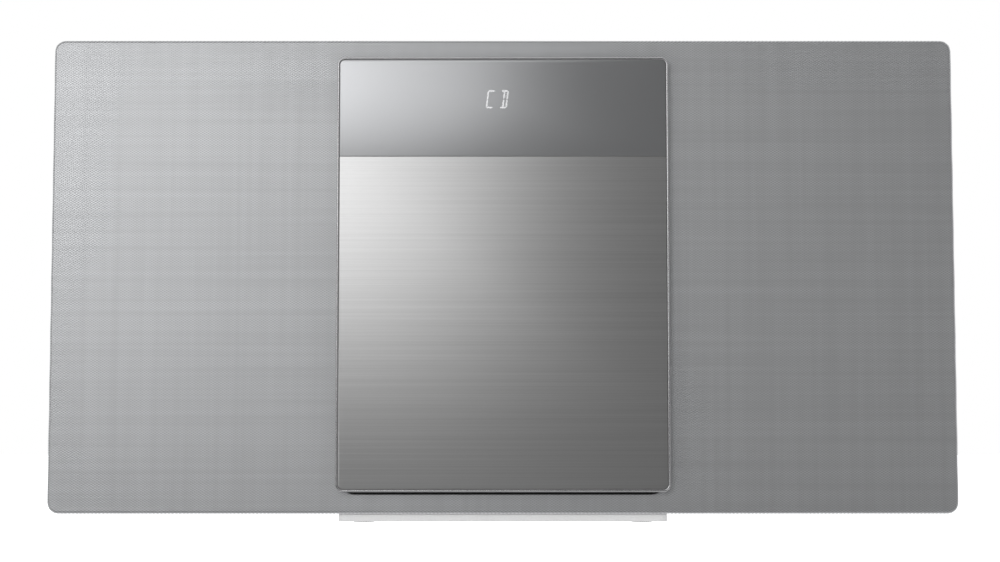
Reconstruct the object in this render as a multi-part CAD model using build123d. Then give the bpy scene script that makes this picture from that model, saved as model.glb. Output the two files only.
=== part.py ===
from build123d import *
from math import acos, cos, pi, radians, sin, sqrt, tan
import os

# Slim compact stereo: a wide cabinet with a full-width speaker grille and a door that
# slides sideways in front of it, carried on a low foot plate.
#
# Frame: +Z up, the front faces -Y, +X is to the right of a person facing the front.
# Origin: the middle of the bounding box on the surface that the stereo stands on.
# All lengths are millimetres.

# ---------------------------------------------------------------- driving dimensions
OVERALL_WIDTH = 415.0
OVERALL_HEIGHT = 222.0
OVERALL_DEPTH = 93.0

HALF_WIDTH = OVERALL_WIDTH / 2
FRONT_Y = -OVERALL_DEPTH / 2
REAR_Y = OVERALL_DEPTH / 2

# Grille: cloth stretched over a ribbed frame.
GRILLE_BOTTOM_Z = 4.3
GRILLE_CORNER_R = 4.8
CLOTH_THICKNESS = 0.4
CLOTH_FRONT_Y = -41.2
BAFFLE_FRONT_Y = -38.0
GRILLE_RIB = 2.4
GRILLE_BORDER = 4.0
GRILLE_COLUMNS = 4
GRILLE_ROWS = 6
HEM_GAP = 0.4

# Opening in the middle of the grille, behind the door.
OPENING_HALF_WIDTH = 74.5
OPENING_BOTTOM_Z = 12.5
OPENING_TOP_Z = 212.0
OPENING_CORNER_R = 7.0

# Cabinet.
CABINET_INSET = 1.5
CABINET_BOTTOM_Z = 5.5
CABINET_TOP_Z = 220.5
CABINET_REAR_Y = 22.5
CABINET_WALL = 2.2
CABINET_CORNER_R = 4.0
CABINET_INNER_R = 1.8
CABINET_REAR_ROUND = 3.8
BAFFLE_BACK_Y = -35.0
BAFFLE_OPENING_X = 76.5
BAFFLE_OPENING_Z = (9.0, 214.0)
SCREW_XS = (-197.0, -92.0, 92.0, 197.0)
SCREW_ZS = (12.6, 211.5)
SCREW_SPOTS = [(x, z) for x in SCREW_XS for z in SCREW_ZS]
SCREW_R = 1.4
SCREW_HEAD_R = 2.7
SCREW_HEAD_HEIGHT = 1.5
BOSS_R = 3.6
BOARD_POST_R = 3.2
BOARD_POST_XS = (-64.0, 66.0)
BOARD_POST_ZS = (68.0, 190.0)
VENT_COUNT = 13
VENT_PITCH = 9.0
VENT_WIDTH = 2.6
VENT_Z = (142.0, 180.0)

# Door.
DOOR_HALF_WIDTH = 76.3
DOOR_BOTTOM_Z = 14.0
DOOR_TOP_Z = 213.6
DOOR_CORNER_R = 3.5
DOOR_BACK_Y = -41.5
DOOR_SKIN_Y = -43.5
DOOR_FACE_Y = -46.2
DOOR_RIM = 1.2
WINDOW_BOTTOM_Z = 167.8
PANEL_TOP_Z = 167.2

# Inner fascia and disc well.
FASCIA_FRONT_Y = -40.3
FASCIA_BACK_Y = -35.4
DISC_X = -12.0
DISC_Z = 95.0
WELL_R = 61.5
WELL_WALL = 1.6
WELL_FLOOR_Y = -27.4
DISPLAY_HALF_WIDTH = 30.0
DISPLAY_BOTTOM_Z = 185.0
DISPLAY_TOP_Z = 205.5
SENSOR_X = 56.0
SENSOR_Z = 194.0
SENSOR_HOLE_R = 3.6
FASCIA_HALF_WIDTH = 76.3
FASCIA_Z = (9.2, 213.8)
FASCIA_GAP = 0.4
ARM_SLOT_X = 68.6
LOWER_SLOT_Z = (13.6, 17.8)
UPPER_SLOT_Z = (207.4, 211.4)
DISPLAY_LENS_Y = (-40.0, -38.6)

# Door carriages, rods and drive.
ROD_R = 1.5
ROD_Y = -31.9
LOWER_ROD_Z = 15.4
UPPER_ROD_Z = 209.3
ROD_END_X = 81.0
CARRIAGE_LEFT_X = -74.5
CARRIAGE_LENGTH = 20.0
ARM_LEFT_X = -67.0
ARM_WIDTH = 5.0
CARRIAGE_FRONT_Y = -34.4
CARRIAGE_BACK_Y = -29.4
RACK_RIGHT_X = 72.0
CARRIAGE_HALF_HEIGHT = 3.0
RUNNING_GAP = 0.05
ROD_HOLDER_X = (77.0, 82.5)
ROD_HOLDER_HALF_HEIGHT = 2.5

GEAR_MODULE = 0.8
PINION_TEETH = 15
WHEEL_TEETH = 30
MOTOR_TEETH = 10
GEAR_X = 63.0
RACK_PITCH_Z = 23.5
GEAR_Z = RACK_PITCH_Z + GEAR_MODULE * PINION_TEETH / 2
MOTOR_Z = GEAR_Z + GEAR_MODULE * (WHEEL_TEETH + MOTOR_TEETH) / 2
ADDENDUM = 0.70
DEDENDUM = 1.00
TOOTH_THINNING = 0.20
PINION_TIER = (-33.9, -29.9)
WHEEL_TIER = (-28.6, -25.4)
BRACKET_X = (50.0, 84.0)
BRACKET_Y = (-24.8, -23.3)
BRACKET_Z = (20.5, 57.5)
PILLAR_X = 80.5
PILLAR_ZS = (27.0, 40.0, 53.0)
PILLAR_R = 2.4
DOOR_MOTOR_R = 9.0
DOOR_MOTOR_FLAT = 7.4
DOOR_MOTOR_BACK_Y = -2.0
MOTOR_BOSS_R = 2.5

# Disc mechanism.
SPINDLE_R = 1.0
TABLE_R = 13.0
PICKUP_INNER_X = 11.0
SLED_ROD_Y = -19.4
SLED_ROD_ZS = (80.0, 110.0)
LEAD_SCREW_Z = 117.6
LEAD_SCREW_R = 1.6
CHASSIS_Y = (-13.6, -12.0)
CHASSIS_X = (-30.0, 69.0)
CHASSIS_Z = (63.0, 133.0)
BUSH_SPOTS = ((-26.0, 67.5), (64.5, 67.5), (-26.0, 128.5), (64.5, 128.5))
BUSH_R = 3.6
BUSH_WAIST_R = 2.6
BUSH_LIP = 2.4
POST_R = 1.8
POST_END_Y = -9.0
SPINDLE_MOTOR_R = 12.0
SPINDLE_MOTOR_FRONT_Y = -24.6
LEFT_HOLDER_X = (-8.0, -3.0)
RIGHT_HOLDER_X = (61.5, 66.5)
HOLDER_DEPTH = 3.2
SLED_ROD_X = (-7.0, 65.5)
SCREW_GROOVES = 19
GROOVE_PITCH = 3.0
GROOVE_WIDTH = 0.8
GROOVE_DEPTH = 0.35
LENS_HOLDER_R = 3.0

# Loudspeakers: one full-range driver and one passive radiator on each side.
SPEAKER_X = 142.0
DRIVER_Z = 165.0
PASSIVE_Z = 72.0
DRIVER_FLANGE_R = 35.0
DRIVER_HOLE_R = 30.0
PASSIVE_FLANGE_R = 43.0
PASSIVE_HOLE_R = 38.5
PASSIVE_FRAME_R = 36.4
PASSIVE_FRAME_BACK_Y = -32.6
SURROUND_BASE_Y = -33.4
DRIVER_ROLL = (24.3, 27.7, 1.7)
PASSIVE_ROLL = (28.2, 36.1, 2.1)
SURROUND_WALL = 0.6
SURROUND_STEPS = 8
BASKET_WINDOW = (13.0, 14.0)

# Buttons along the top.
BUTTON_PITCH = 16.0
BUTTON_Y = -8.0
BUTTON_SIZE = (12.0, 6.4)
BUTTON_TOP_Z = 221.3
BUTTON_GAP = 0.3
BUTTON_FLANGE = 1.4
BUTTON_STEM_R = 1.8
BUTTON_STEM_Z = 214.0
BUTTON_BOARD_Z = (208.6, 210.2)
BUTTON_BOARD_HALF = (66.0, 6.0)
BUTTON_NAMES = ("power", "source", "open_close", "previous", "play_pause", "next",
                "volume_down", "volume_up")

# Sockets.
INLET_X = -98.0
ANTENNA_X = 98.0
AUX_X = 64.0
SOCKET_Z = 24.0
SIDE_SOCKET_Y = -4.0
HEADPHONE_Z = 60.0
USB_Z = 84.0
JACK_R = 1.8
WALL_HOLE_SPACING = 190.0
WALL_HOLE_Z = 178.0
WALL_HOLE_R = 2.25
INLET_HALF = (11.0, 7.0)
INLET_FRONT_Y = 2.0
INLET_RECESS = (7.8, 4.4)
INLET_PIN_X = 3.6
INLET_PIN_R = 1.2
ANTENNA_R = 6.4
JACK_COLLAR_R = 3.9
JACK_BODY_HALF = 5.0
USB_HALF = (3.4, 7.2)
USB_WALL = 0.8
PORT_GAP = 0.2

# Boards.
BOARD_THICKNESS = 1.6
MAIN_BOARD_X = (-70.0, 72.0)
MAIN_BOARD_Y = 4.0
MAIN_BOARD_Z = (62.0, 196.0)
POWER_BOARD_X = (-140.0, -78.0)
POWER_BOARD_Y = 6.0
POWER_BOARD_Z = (10.0, 62.0)
HEAT_SINK_X = (80.0, 118.0)
HEAT_SINK_Z = (68.0, 118.0)
FIN_COUNT = 8
FIN_WIDTH = 2.0

# Stand.
STAND_HALF_WIDTH = 75.3
STAND_FRONT_Y = -38.0
STAND_UNDERSIDE_Z = 0.4
STAND_POST_HALF_WIDTH = 42.0
STAND_POST_TOP_Z = 50.0
STAND_POST_DEPTH = 4.5
STAND_POST_ROUND = 8.0
STAND_FRONT_ROUND = 3.0
STAND_REAR_ROUND = 14.0
STAND_SCREW_XS = (-24.0, 24.0)
STAND_SCREW_Z = 36.0
STAND_RIB_XS = (-34.0, 0.0, 34.0)
STAND_RIB = 3.0
FOOT_SPOTS = ((-64.0, -28.0), (64.0, -28.0), (-64.0, 36.0), (64.0, 36.0))
FOOT_R = 5.0
FOOT_HEIGHT = 1.4

# Cuts run past a face by this much, and joined solids bite into each other by this much.
PAST = 1.0
BITE = 0.1

os.makedirs("parts", exist_ok=True)


# ---------------------------------------------------------------- helpers
def block(x, y, z):
    """A box from its low and high limits along each axis."""
    centre = Pos((x[0] + x[1]) / 2, (y[0] + y[1]) / 2, (z[0] + z[1]) / 2)
    return centre * Box(x[1] - x[0], y[1] - y[0], z[1] - z[0])


def slab(x, y, z, corner_r):
    """A box whose four edges along Y are rounded: a rounded rectangle seen from the front."""
    body = block(x, y, z)
    return fillet(body.edges().filter_by(Axis.Y), corner_r)


def rod_x(x, y, z, radius):
    """A cylinder along X between two x limits."""
    return Pos((x[0] + x[1]) / 2, y, z) * Rot(0, 90, 0) * Cylinder(radius, x[1] - x[0])


def rod_y(x, y, z, radius):
    """A cylinder along Y between two y limits."""
    return Pos(x, (y[0] + y[1]) / 2, z) * Rot(90, 0, 0) * Cylinder(radius, y[1] - y[0])


def rod_z(x, y, z, radius):
    """A cylinder along Z between two z limits."""
    return Pos(x, y, (z[0] + z[1]) / 2) * Cylinder(radius, z[1] - z[0])


def turned(profile, x, z):
    """A solid turned about a Y axis through (x, z) from a list of (radius, y) points."""
    outline = make_face(Polyline(*profile, close=True))
    return Pos(x, 0, z) * revolve(outline, Axis.Y)


def save(shape, node):
    """Write one node's solids."""
    export_step(shape, f"parts/{node}.step")


# ---------------------------------------------------------------- gears
def gear_points(teeth, tooth_at):
    """Outline of a spur gear in its own plane, with involute flanks.

    tooth_at is the direction of one tooth's middle, in radians.
    """
    pitch_r = GEAR_MODULE * teeth / 2
    base_r = pitch_r * cos(radians(20))
    tip_r = pitch_r + ADDENDUM
    root_r = pitch_r - DEDENDUM
    pitch_half = (pi * GEAR_MODULE / 2 - TOOTH_THINNING) / 2 / pitch_r
    pitch_roll = tan(radians(20)) - radians(20)

    def half_angle(radius):
        """Half the tooth's angle at a radius: the involute takes it below the pitch circle's."""
        if radius <= base_r:
            return pitch_half + pitch_roll
        pressure = acos(base_r / radius)
        return pitch_half + pitch_roll - (tan(pressure) - pressure)

    low_r = max(base_r, root_r + 0.15)
    radii = [low_r + (tip_r - low_r) * step / 4 for step in range(5)]
    points = []
    for tooth in range(teeth):
        middle = tooth_at + 2 * pi * tooth / teeth
        rising = [(root_r, -half_angle(low_r))] + [(r, -half_angle(r)) for r in radii]
        falling = [(r, half_angle(r)) for r in reversed(radii)] + [(root_r, half_angle(low_r))]
        for radius, turn in rising + falling:
            points.append((radius * cos(middle + turn), radius * sin(middle + turn)))
    return points


def gear_disc(teeth, tooth_at, x, y, z):
    """A spur gear on a Y axis through (x, z)."""
    points = [(x + px, y[0], z + pz) for px, pz in gear_points(teeth, tooth_at)]
    outline = make_face(Polyline(*points, close=True))
    return extrude(outline, amount=y[1] - y[0], dir=(0, 1, 0))


def rack_bar(left_x, right_x, base_z, y):
    """A straight rack along X, teeth upwards, with a tooth space centred under the pinion."""
    pitch = pi * GEAR_MODULE
    half_pitch_line = (pitch / 2 - TOOTH_THINNING) / 2
    tip_half = half_pitch_line - ADDENDUM * tan(radians(20))
    root_half = half_pitch_line + DEDENDUM * tan(radians(20))
    root_z = RACK_PITCH_Z - DEDENDUM
    tip_z = RACK_PITCH_Z + ADDENDUM
    first = int((GEAR_X - left_x) / pitch - 0.5)
    middle = GEAR_X - (first + 0.5) * pitch
    points = [(left_x, y[0], base_z), (left_x, y[0], root_z)]
    while middle + root_half < right_x - 0.2:
        if middle - root_half > left_x + 0.2:
            points.append((middle - root_half, y[0], root_z))
            points.append((middle - tip_half, y[0], tip_z))
            points.append((middle + tip_half, y[0], tip_z))
            points.append((middle + root_half, y[0], root_z))
        middle += pitch
    points.append((right_x, y[0], root_z))
    points.append((right_x, y[0], base_z))
    outline = make_face(Polyline(*points, close=True))
    return extrude(outline, amount=y[1] - y[0], dir=(0, 1, 0))


# ---------------------------------------------------------------- grille
def grille_opening(y):
    """The space that the door opening takes out of the grille's layers."""
    return slab((-OPENING_HALF_WIDTH, OPENING_HALF_WIDTH), y, (OPENING_BOTTOM_Z, OPENING_TOP_Z),
                OPENING_CORNER_R)


def grille_frame():
    """Ribbed plastic frame: a border, a surround for the door opening and two rib grids."""
    front_y = CLOTH_FRONT_Y + CLOTH_THICKNESS
    edge = HALF_WIDTH - CLOTH_THICKNESS
    low_z = GRILLE_BOTTOM_Z + CLOTH_THICKNESS
    high_z = OVERALL_HEIGHT - CLOTH_THICKNESS
    plate = slab((-edge, edge), (front_y, BAFFLE_FRONT_Y), (low_z, high_z),
                 GRILLE_CORNER_R - CLOTH_THICKNESS)
    plate -= grille_opening((front_y - PAST, BAFFLE_FRONT_Y + PAST))
    inner_x = OPENING_HALF_WIDTH + GRILLE_BORDER
    cell_x = (edge - GRILLE_BORDER - inner_x + GRILLE_RIB) / GRILLE_COLUMNS
    cell_z = (high_z - low_z - 2 * GRILLE_BORDER + GRILLE_RIB) / GRILLE_ROWS
    for side in (-1, 1):
        for column in range(GRILLE_COLUMNS):
            for row in range(GRILLE_ROWS):
                near = inner_x + column * cell_x
                x = sorted((side * near, side * (near + cell_x - GRILLE_RIB)))
                z = low_z + GRILLE_BORDER + row * cell_z
                plate -= block(x, (front_y - PAST, BAFFLE_FRONT_Y + PAST), (z, z + cell_z - GRILLE_RIB))
    return plate


def grille_cloth():
    """Woven cloth, stretched over the front of the frame and round its four edges."""
    front_y = CLOTH_FRONT_Y
    under_y = CLOTH_FRONT_Y + CLOTH_THICKNESS
    hem_y = BAFFLE_FRONT_Y - HEM_GAP
    outer = slab((-HALF_WIDTH, HALF_WIDTH), (front_y, hem_y), (GRILLE_BOTTOM_Z, OVERALL_HEIGHT),
                 GRILLE_CORNER_R)
    edge = HALF_WIDTH - CLOTH_THICKNESS
    inner = slab((-edge, edge), (under_y, hem_y + PAST),
                 (GRILLE_BOTTOM_Z + CLOTH_THICKNESS, OVERALL_HEIGHT - CLOTH_THICKNESS),
                 GRILLE_CORNER_R - CLOTH_THICKNESS)
    return outer - inner - grille_opening((front_y - PAST, under_y + PAST))


# ---------------------------------------------------------------- cabinet
def cabinet_limits(inset):
    """The cabinet's outline, moved inwards by inset, as x and z limits."""
    edge = HALF_WIDTH - CABINET_INSET - inset
    return (-edge, edge), (CABINET_BOTTOM_Z + inset, CABINET_TOP_Z - inset)


def rear_cabinet():
    """Moulded rear shell, open at the front, with screw bosses, vents and socket cut-outs."""
    x, z = cabinet_limits(0)
    shell = slab(x, (BAFFLE_BACK_Y, CABINET_REAR_Y), z, CABINET_CORNER_R)
    shell = fillet(shell.faces().sort_by(Axis.Y)[-1].edges(), CABINET_REAR_ROUND)
    x, z = cabinet_limits(CABINET_WALL)
    inner_y = CABINET_REAR_Y - CABINET_WALL
    out_y = CABINET_REAR_Y + PAST
    shell -= slab(x, (BAFFLE_BACK_Y - PAST, inner_y), z, CABINET_INNER_R)

    for boss_x, boss_z in SCREW_SPOTS:
        shell += rod_y(boss_x, (BAFFLE_BACK_Y, inner_y), boss_z, BOSS_R)
        shell -= rod_y(boss_x, (6.0, out_y), boss_z, SCREW_R + 0.1)
        shell -= rod_y(boss_x, (CABINET_REAR_Y - SCREW_HEAD_HEIGHT - 0.2, out_y), boss_z, SCREW_HEAD_R + 0.3)

    for side in (-1, 1):
        hole_x = side * WALL_HOLE_SPACING / 2
        shell += rod_y(hole_x, (10.0, inner_y + BITE), WALL_HOLE_Z, 2 * WALL_HOLE_R + 0.5)
        shell -= rod_y(hole_x, (12.0, out_y), WALL_HOLE_Z, WALL_HOLE_R)

    for board_x in BOARD_POST_XS:
        for board_z in BOARD_POST_ZS:
            start_y = MAIN_BOARD_Y + BOARD_THICKNESS
            shell += rod_y(board_x, (start_y, inner_y + BITE), board_z, BOARD_POST_R)

    for slot in range(VENT_COUNT):
        slot_x = (slot - (VENT_COUNT - 1) / 2) * VENT_PITCH
        shell -= block((slot_x - VENT_WIDTH / 2, slot_x + VENT_WIDTH / 2), (inner_y - PAST, out_y), VENT_Z)

    for button in range(len(BUTTON_NAMES)):
        centre = button_x(button)
        half_x = BUTTON_SIZE[0] / 2 + BUTTON_GAP
        half_y = BUTTON_SIZE[1] / 2 + BUTTON_GAP
        shell -= block((centre - half_x, centre + half_x), (BUTTON_Y - half_y, BUTTON_Y + half_y),
                       (CABINET_TOP_Z - CABINET_WALL - PAST, CABINET_TOP_Z + PAST))

    wall_y = (inner_y - PAST, out_y)
    half_x = INLET_HALF[0] + PORT_GAP
    half_z = INLET_HALF[1] + PORT_GAP
    shell -= block((INLET_X - half_x, INLET_X + half_x), wall_y, (SOCKET_Z - half_z, SOCKET_Z + half_z))
    shell -= rod_y(ANTENNA_X, wall_y, SOCKET_Z, ANTENNA_R + PORT_GAP)
    shell -= rod_y(AUX_X, wall_y, SOCKET_Z, JACK_COLLAR_R + PORT_GAP)
    side_x = HALF_WIDTH - CABINET_INSET
    wall_x = (side_x - CABINET_WALL - PAST, side_x + PAST)
    shell -= rod_x(wall_x, SIDE_SOCKET_Y, HEADPHONE_Z, JACK_COLLAR_R + PORT_GAP)
    half_y = USB_HALF[0] + PORT_GAP
    half_z = USB_HALF[1] + PORT_GAP
    shell -= block(wall_x, (SIDE_SOCKET_Y - half_y, SIDE_SOCKET_Y + half_y), (USB_Z - half_z, USB_Z + half_z))
    for screw_x in STAND_SCREW_XS:
        shell -= rod_y(screw_x, wall_y, STAND_SCREW_Z, SCREW_R + 0.1)
    return shell


def front_baffle():
    """Board behind the grille: speaker holes, the middle opening and four rod holders."""
    x, z = cabinet_limits(0)
    through_y = (BAFFLE_FRONT_Y - PAST, BAFFLE_BACK_Y + PAST)
    board = slab(x, (BAFFLE_FRONT_Y, BAFFLE_BACK_Y), z, CABINET_CORNER_R)
    board -= slab((-BAFFLE_OPENING_X, BAFFLE_OPENING_X), through_y, BAFFLE_OPENING_Z, 3.0)
    for side in (-1, 1):
        board -= rod_y(side * SPEAKER_X, through_y, DRIVER_Z, DRIVER_HOLE_R)
        board -= rod_y(side * SPEAKER_X, through_y, PASSIVE_Z, PASSIVE_HOLE_R)
        for height in (LOWER_ROD_Z, UPPER_ROD_Z):
            holder_x = sorted(side * edge for edge in ROD_HOLDER_X)
            board += block(holder_x, (BAFFLE_BACK_Y - BITE, CARRIAGE_BACK_Y),
                           (height - ROD_HOLDER_HALF_HEIGHT, height + ROD_HOLDER_HALF_HEIGHT))
            bore_x = sorted((side * (ROD_HOLDER_X[0] - PAST), side * ROD_END_X))
            board -= rod_x(bore_x, ROD_Y, height, ROD_R)
    return board


def cross_slot(x, y, z):
    """The cross-shaped driver slot of a screw head."""
    arm = 2.0
    half = 0.35
    return block((x - arm, x + arm), y, (z - half, z + half)) + block((x - half, x + half), y,
                                                                      (z - arm, z + arm))


def cabinet_screws():
    """Self-tapping screws: eight through the rear shell and two through the stand's post."""
    head_y = CABINET_REAR_Y - 0.2
    neck_y = head_y - SCREW_HEAD_HEIGHT
    screws = []
    for x, z in SCREW_SPOTS:
        screw = rod_y(x, (8.0, neck_y), z, SCREW_R) + rod_y(x, (neck_y, head_y), z, SCREW_HEAD_R)
        screws.append(screw - cross_slot(x, (head_y - 0.6, head_y + PAST), z))
    post_y = CABINET_REAR_Y + STAND_POST_DEPTH
    top_y = post_y + SCREW_HEAD_HEIGHT + 0.1
    for x in STAND_SCREW_XS:
        screw = rod_y(x, (16.5, post_y), STAND_SCREW_Z, SCREW_R)
        screw += rod_y(x, (post_y, top_y), STAND_SCREW_Z, SCREW_HEAD_R + 0.5)
        screws.append(screw - cross_slot(x, (top_y - 0.6, top_y + PAST), STAND_SCREW_Z))
    return Compound(screws)


# ---------------------------------------------------------------- stand

def stand():
    """Foot plate that reaches behind the cabinet, with an upright post screwed to its back."""
    plate = block((-STAND_HALF_WIDTH, STAND_HALF_WIDTH), (STAND_FRONT_Y, REAR_Y),
                  (STAND_UNDERSIDE_Z, GRILLE_BOTTOM_Z))
    corners = plate.edges().filter_by(Axis.Z)
    plate = fillet(corners.sort_by(Axis.Y)[:2], STAND_FRONT_ROUND)
    plate = fillet(plate.edges().filter_by(Axis.Z).sort_by(Axis.Y)[-2:], STAND_REAR_ROUND)
    plate = fillet(plate.faces().sort_by(Axis.Z)[-1].edges(), 1.0)
    low_z = GRILLE_BOTTOM_Z - 0.5
    seat_x = STAND_HALF_WIDTH - STAND_RIB
    plate += block((-seat_x, seat_x), (-34.0, CABINET_REAR_Y - 4), (low_z, CABINET_BOTTOM_Z))
    post = block((-STAND_POST_HALF_WIDTH, STAND_POST_HALF_WIDTH),
                 (CABINET_REAR_Y, CABINET_REAR_Y + STAND_POST_DEPTH), (low_z, STAND_POST_TOP_Z))
    top = post.edges().filter_by(Axis.Y).sort_by(Axis.Z)[-2:]
    plate += fillet(top, STAND_POST_ROUND)
    rib_y = CABINET_REAR_Y + STAND_POST_DEPTH - 0.2
    for x in STAND_RIB_XS:
        left_x = x - STAND_RIB / 2
        rib = make_face(Polyline((left_x, rib_y, low_z), (left_x, rib_y + 12.2, low_z),
                                 (left_x, rib_y, low_z + 20.5), close=True))
        plate += extrude(rib, amount=STAND_RIB, dir=(1, 0, 0))
    for x in STAND_SCREW_XS:
        plate -= rod_y(x, (CABINET_REAR_Y - PAST, CABINET_REAR_Y + 10), STAND_SCREW_Z, SCREW_R + 0.1)
    for x, y in FOOT_SPOTS:
        plate -= rod_z(x, y, (STAND_UNDERSIDE_Z - PAST, FOOT_HEIGHT), FOOT_R + PORT_GAP)
    return plate


def stand_feet():
    """Four thin rubber pads let into the underside of the foot plate."""
    return Compound([rod_z(x, y, (0.0, FOOT_HEIGHT), FOOT_R) for x, y in FOOT_SPOTS])


# ---------------------------------------------------------------- inner fascia and display
def inner_fascia():
    """Black panel behind the door: disc well, display window, and a slot for each door arm."""
    panel = slab((-FASCIA_HALF_WIDTH, FASCIA_HALF_WIDTH), (BAFFLE_FRONT_Y, FASCIA_BACK_Y), FASCIA_Z, 2.8)
    raised_x = OPENING_HALF_WIDTH - FASCIA_GAP
    raised = slab((-raised_x, raised_x), (FASCIA_FRONT_Y, BAFFLE_FRONT_Y + BITE),
                  (OPENING_BOTTOM_Z + FASCIA_GAP, OPENING_TOP_Z - FASCIA_GAP),
                  OPENING_CORNER_R - FASCIA_GAP)
    slot_x = (-ARM_SLOT_X, ARM_SLOT_X)
    raised_y = (FASCIA_FRONT_Y - PAST, BAFFLE_FRONT_Y + PAST)
    raised -= block(slot_x, raised_y, (OPENING_BOTTOM_Z - PAST, LOWER_SLOT_Z[1]))
    raised -= block(slot_x, raised_y, (UPPER_SLOT_Z[0], OPENING_TOP_Z + PAST))
    panel += raised
    well_back_y = WELL_FLOOR_Y + WELL_WALL
    panel += rod_y(DISC_X, (BAFFLE_FRONT_Y, well_back_y), DISC_Z, WELL_R + WELL_WALL)
    for x, z in BUSH_SPOTS:
        over_well = sqrt((x - DISC_X) ** 2 + (z - DISC_Z) ** 2) < WELL_R
        start_y = well_back_y if over_well else FASCIA_BACK_Y
        panel += rod_y(x, (start_y - 0.5, POST_END_Y), z, POST_R)
    panel -= rod_y(DISC_X, (FASCIA_FRONT_Y - PAST, WELL_FLOOR_Y), DISC_Z, WELL_R)

    through_y = (FASCIA_FRONT_Y - PAST, FASCIA_BACK_Y + PAST)
    for slot_z in (LOWER_SLOT_Z, UPPER_SLOT_Z):
        panel -= block(slot_x, (BAFFLE_FRONT_Y - PAST, FASCIA_BACK_Y + PAST), slot_z)
    floor_y = (WELL_FLOOR_Y - PAST, well_back_y + PAST)
    panel -= rod_y(DISC_X, floor_y, DISC_Z, 4.0)
    panel -= block((PICKUP_INNER_X - 5.2, DISC_X + WELL_R - 0.2), floor_y, (DISC_Z - 7.0, DISC_Z + 7.0))
    panel -= block((-DISPLAY_HALF_WIDTH, DISPLAY_HALF_WIDTH), through_y, (DISPLAY_BOTTOM_Z, DISPLAY_TOP_Z))
    panel -= rod_y(SENSOR_X, through_y, SENSOR_Z, SENSOR_HOLE_R)
    return panel


def display_lens():
    """Clear filter over the display."""
    half_x = DISPLAY_HALF_WIDTH - PORT_GAP
    return block((-half_x, half_x), DISPLAY_LENS_Y, (DISPLAY_BOTTOM_Z + PORT_GAP, DISPLAY_TOP_Z - PORT_GAP))


def display_board():
    """Circuit board with the segment display module standing into the fascia's window."""
    board = block((-40.0, 40.0), (-34.9, -34.9 + BOARD_THICKNESS), (180.0, DISPLAY_TOP_Z))
    board += block((-28.0, 28.0), (-38.2, -34.8), (DISPLAY_BOTTOM_Z + 1.0, DISPLAY_TOP_Z - 1.0))
    board += block((-34.0, -22.0), (-33.4, -30.0), (182.0, 188.0))
    return board


def remote_sensor():
    """Domed infrared receiver behind its hole in the fascia."""
    dome = rod_y(SENSOR_X, (-38.6, -34.0), SENSOR_Z, 3.0)
    dome = fillet(dome.faces().sort_by(Axis.Y)[0].edges(), 2.0)
    return dome + block((SENSOR_X - 6, SENSOR_X + 6), (-35.2, -33.4), (SENSOR_Z - 7, SENSOR_Z + 7))


# ---------------------------------------------------------------- door
def door_outline(inset, y):
    """The door's rounded outline, moved inwards by inset, as a solid between two y limits."""
    edge = DOOR_HALF_WIDTH - inset
    return slab((-edge, edge), y, (DOOR_BOTTOM_Z + inset, DOOR_TOP_Z - inset), DOOR_CORNER_R - inset)


def door_rim():
    """Thin bright rim round the whole door."""
    ring = door_outline(0, (FRONT_Y, DOOR_BACK_Y))
    front = ring.faces().sort_by(Axis.Y)[0].edges()
    ring = fillet(front, 0.35)
    return ring - door_outline(DOOR_RIM, (FRONT_Y - PAST, DOOR_BACK_Y + PAST))


def door_face(z_low, z_high):
    """The part of the door's face between two heights."""
    face = door_outline(DOOR_RIM, (DOOR_FACE_Y, DOOR_SKIN_Y))
    return face & block((-HALF_WIDTH, HALF_WIDTH), (DOOR_FACE_Y - PAST, DOOR_SKIN_Y + PAST), (z_low, z_high))


def door_back():
    """Moulded carrier behind the door's face, cut away behind the display and the sensor."""
    carrier = door_outline(DOOR_RIM, (DOOR_SKIN_Y, DOOR_BACK_Y))
    carrier -= block((-36.0, 36.0), (DOOR_SKIN_Y - PAST, DOOR_BACK_Y + PAST), (181.0, 206.0))
    carrier -= rod_y(SENSOR_X, (DOOR_SKIN_Y - PAST, DOOR_BACK_Y + PAST), SENSOR_Z, 5.0)
    return carrier


def carriage(height, arm_z):
    """A block that runs on a guide rod, with the arm that reaches forward to the door."""
    x = (CARRIAGE_LEFT_X, CARRIAGE_LEFT_X + CARRIAGE_LENGTH)
    body = block(x, (CARRIAGE_FRONT_Y, CARRIAGE_BACK_Y),
                 (height - CARRIAGE_HALF_HEIGHT, height + CARRIAGE_HALF_HEIGHT))
    body += block((ARM_LEFT_X, ARM_LEFT_X + ARM_WIDTH), (DOOR_BACK_Y, CARRIAGE_FRONT_Y + 0.5), arm_z)
    return body


def door_rack():
    """Lower carriage and the toothed rack that it carries, in one moulding."""
    body = carriage(LOWER_ROD_Z, (14.4, 17.2))
    base_z = LOWER_ROD_Z + CARRIAGE_HALF_HEIGHT
    body += block((CARRIAGE_LEFT_X, CARRIAGE_LEFT_X + CARRIAGE_LENGTH), PINION_TIER,
                  (base_z - 0.2, RACK_PITCH_Z - DEDENDUM))
    body += rack_bar(CARRIAGE_LEFT_X, RACK_RIGHT_X, base_z + 0.8, PINION_TIER)
    return body - rod_x((-HALF_WIDTH, HALF_WIDTH), ROD_Y, LOWER_ROD_Z, ROD_R + RUNNING_GAP)


def upper_carriage():
    """Upper carriage, which only guides."""
    body = carriage(UPPER_ROD_Z, (208.0, 210.6))
    return body - rod_x((-HALF_WIDTH, HALF_WIDTH), ROD_Y, UPPER_ROD_Z, ROD_R + RUNNING_GAP)


def guide_rods():
    """Two polished steel rods that the door's carriages run on."""
    return Compound([rod_x((-ROD_END_X, ROD_END_X), ROD_Y, z, ROD_R)
                     for z in (LOWER_ROD_Z, UPPER_ROD_Z)])


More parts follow.
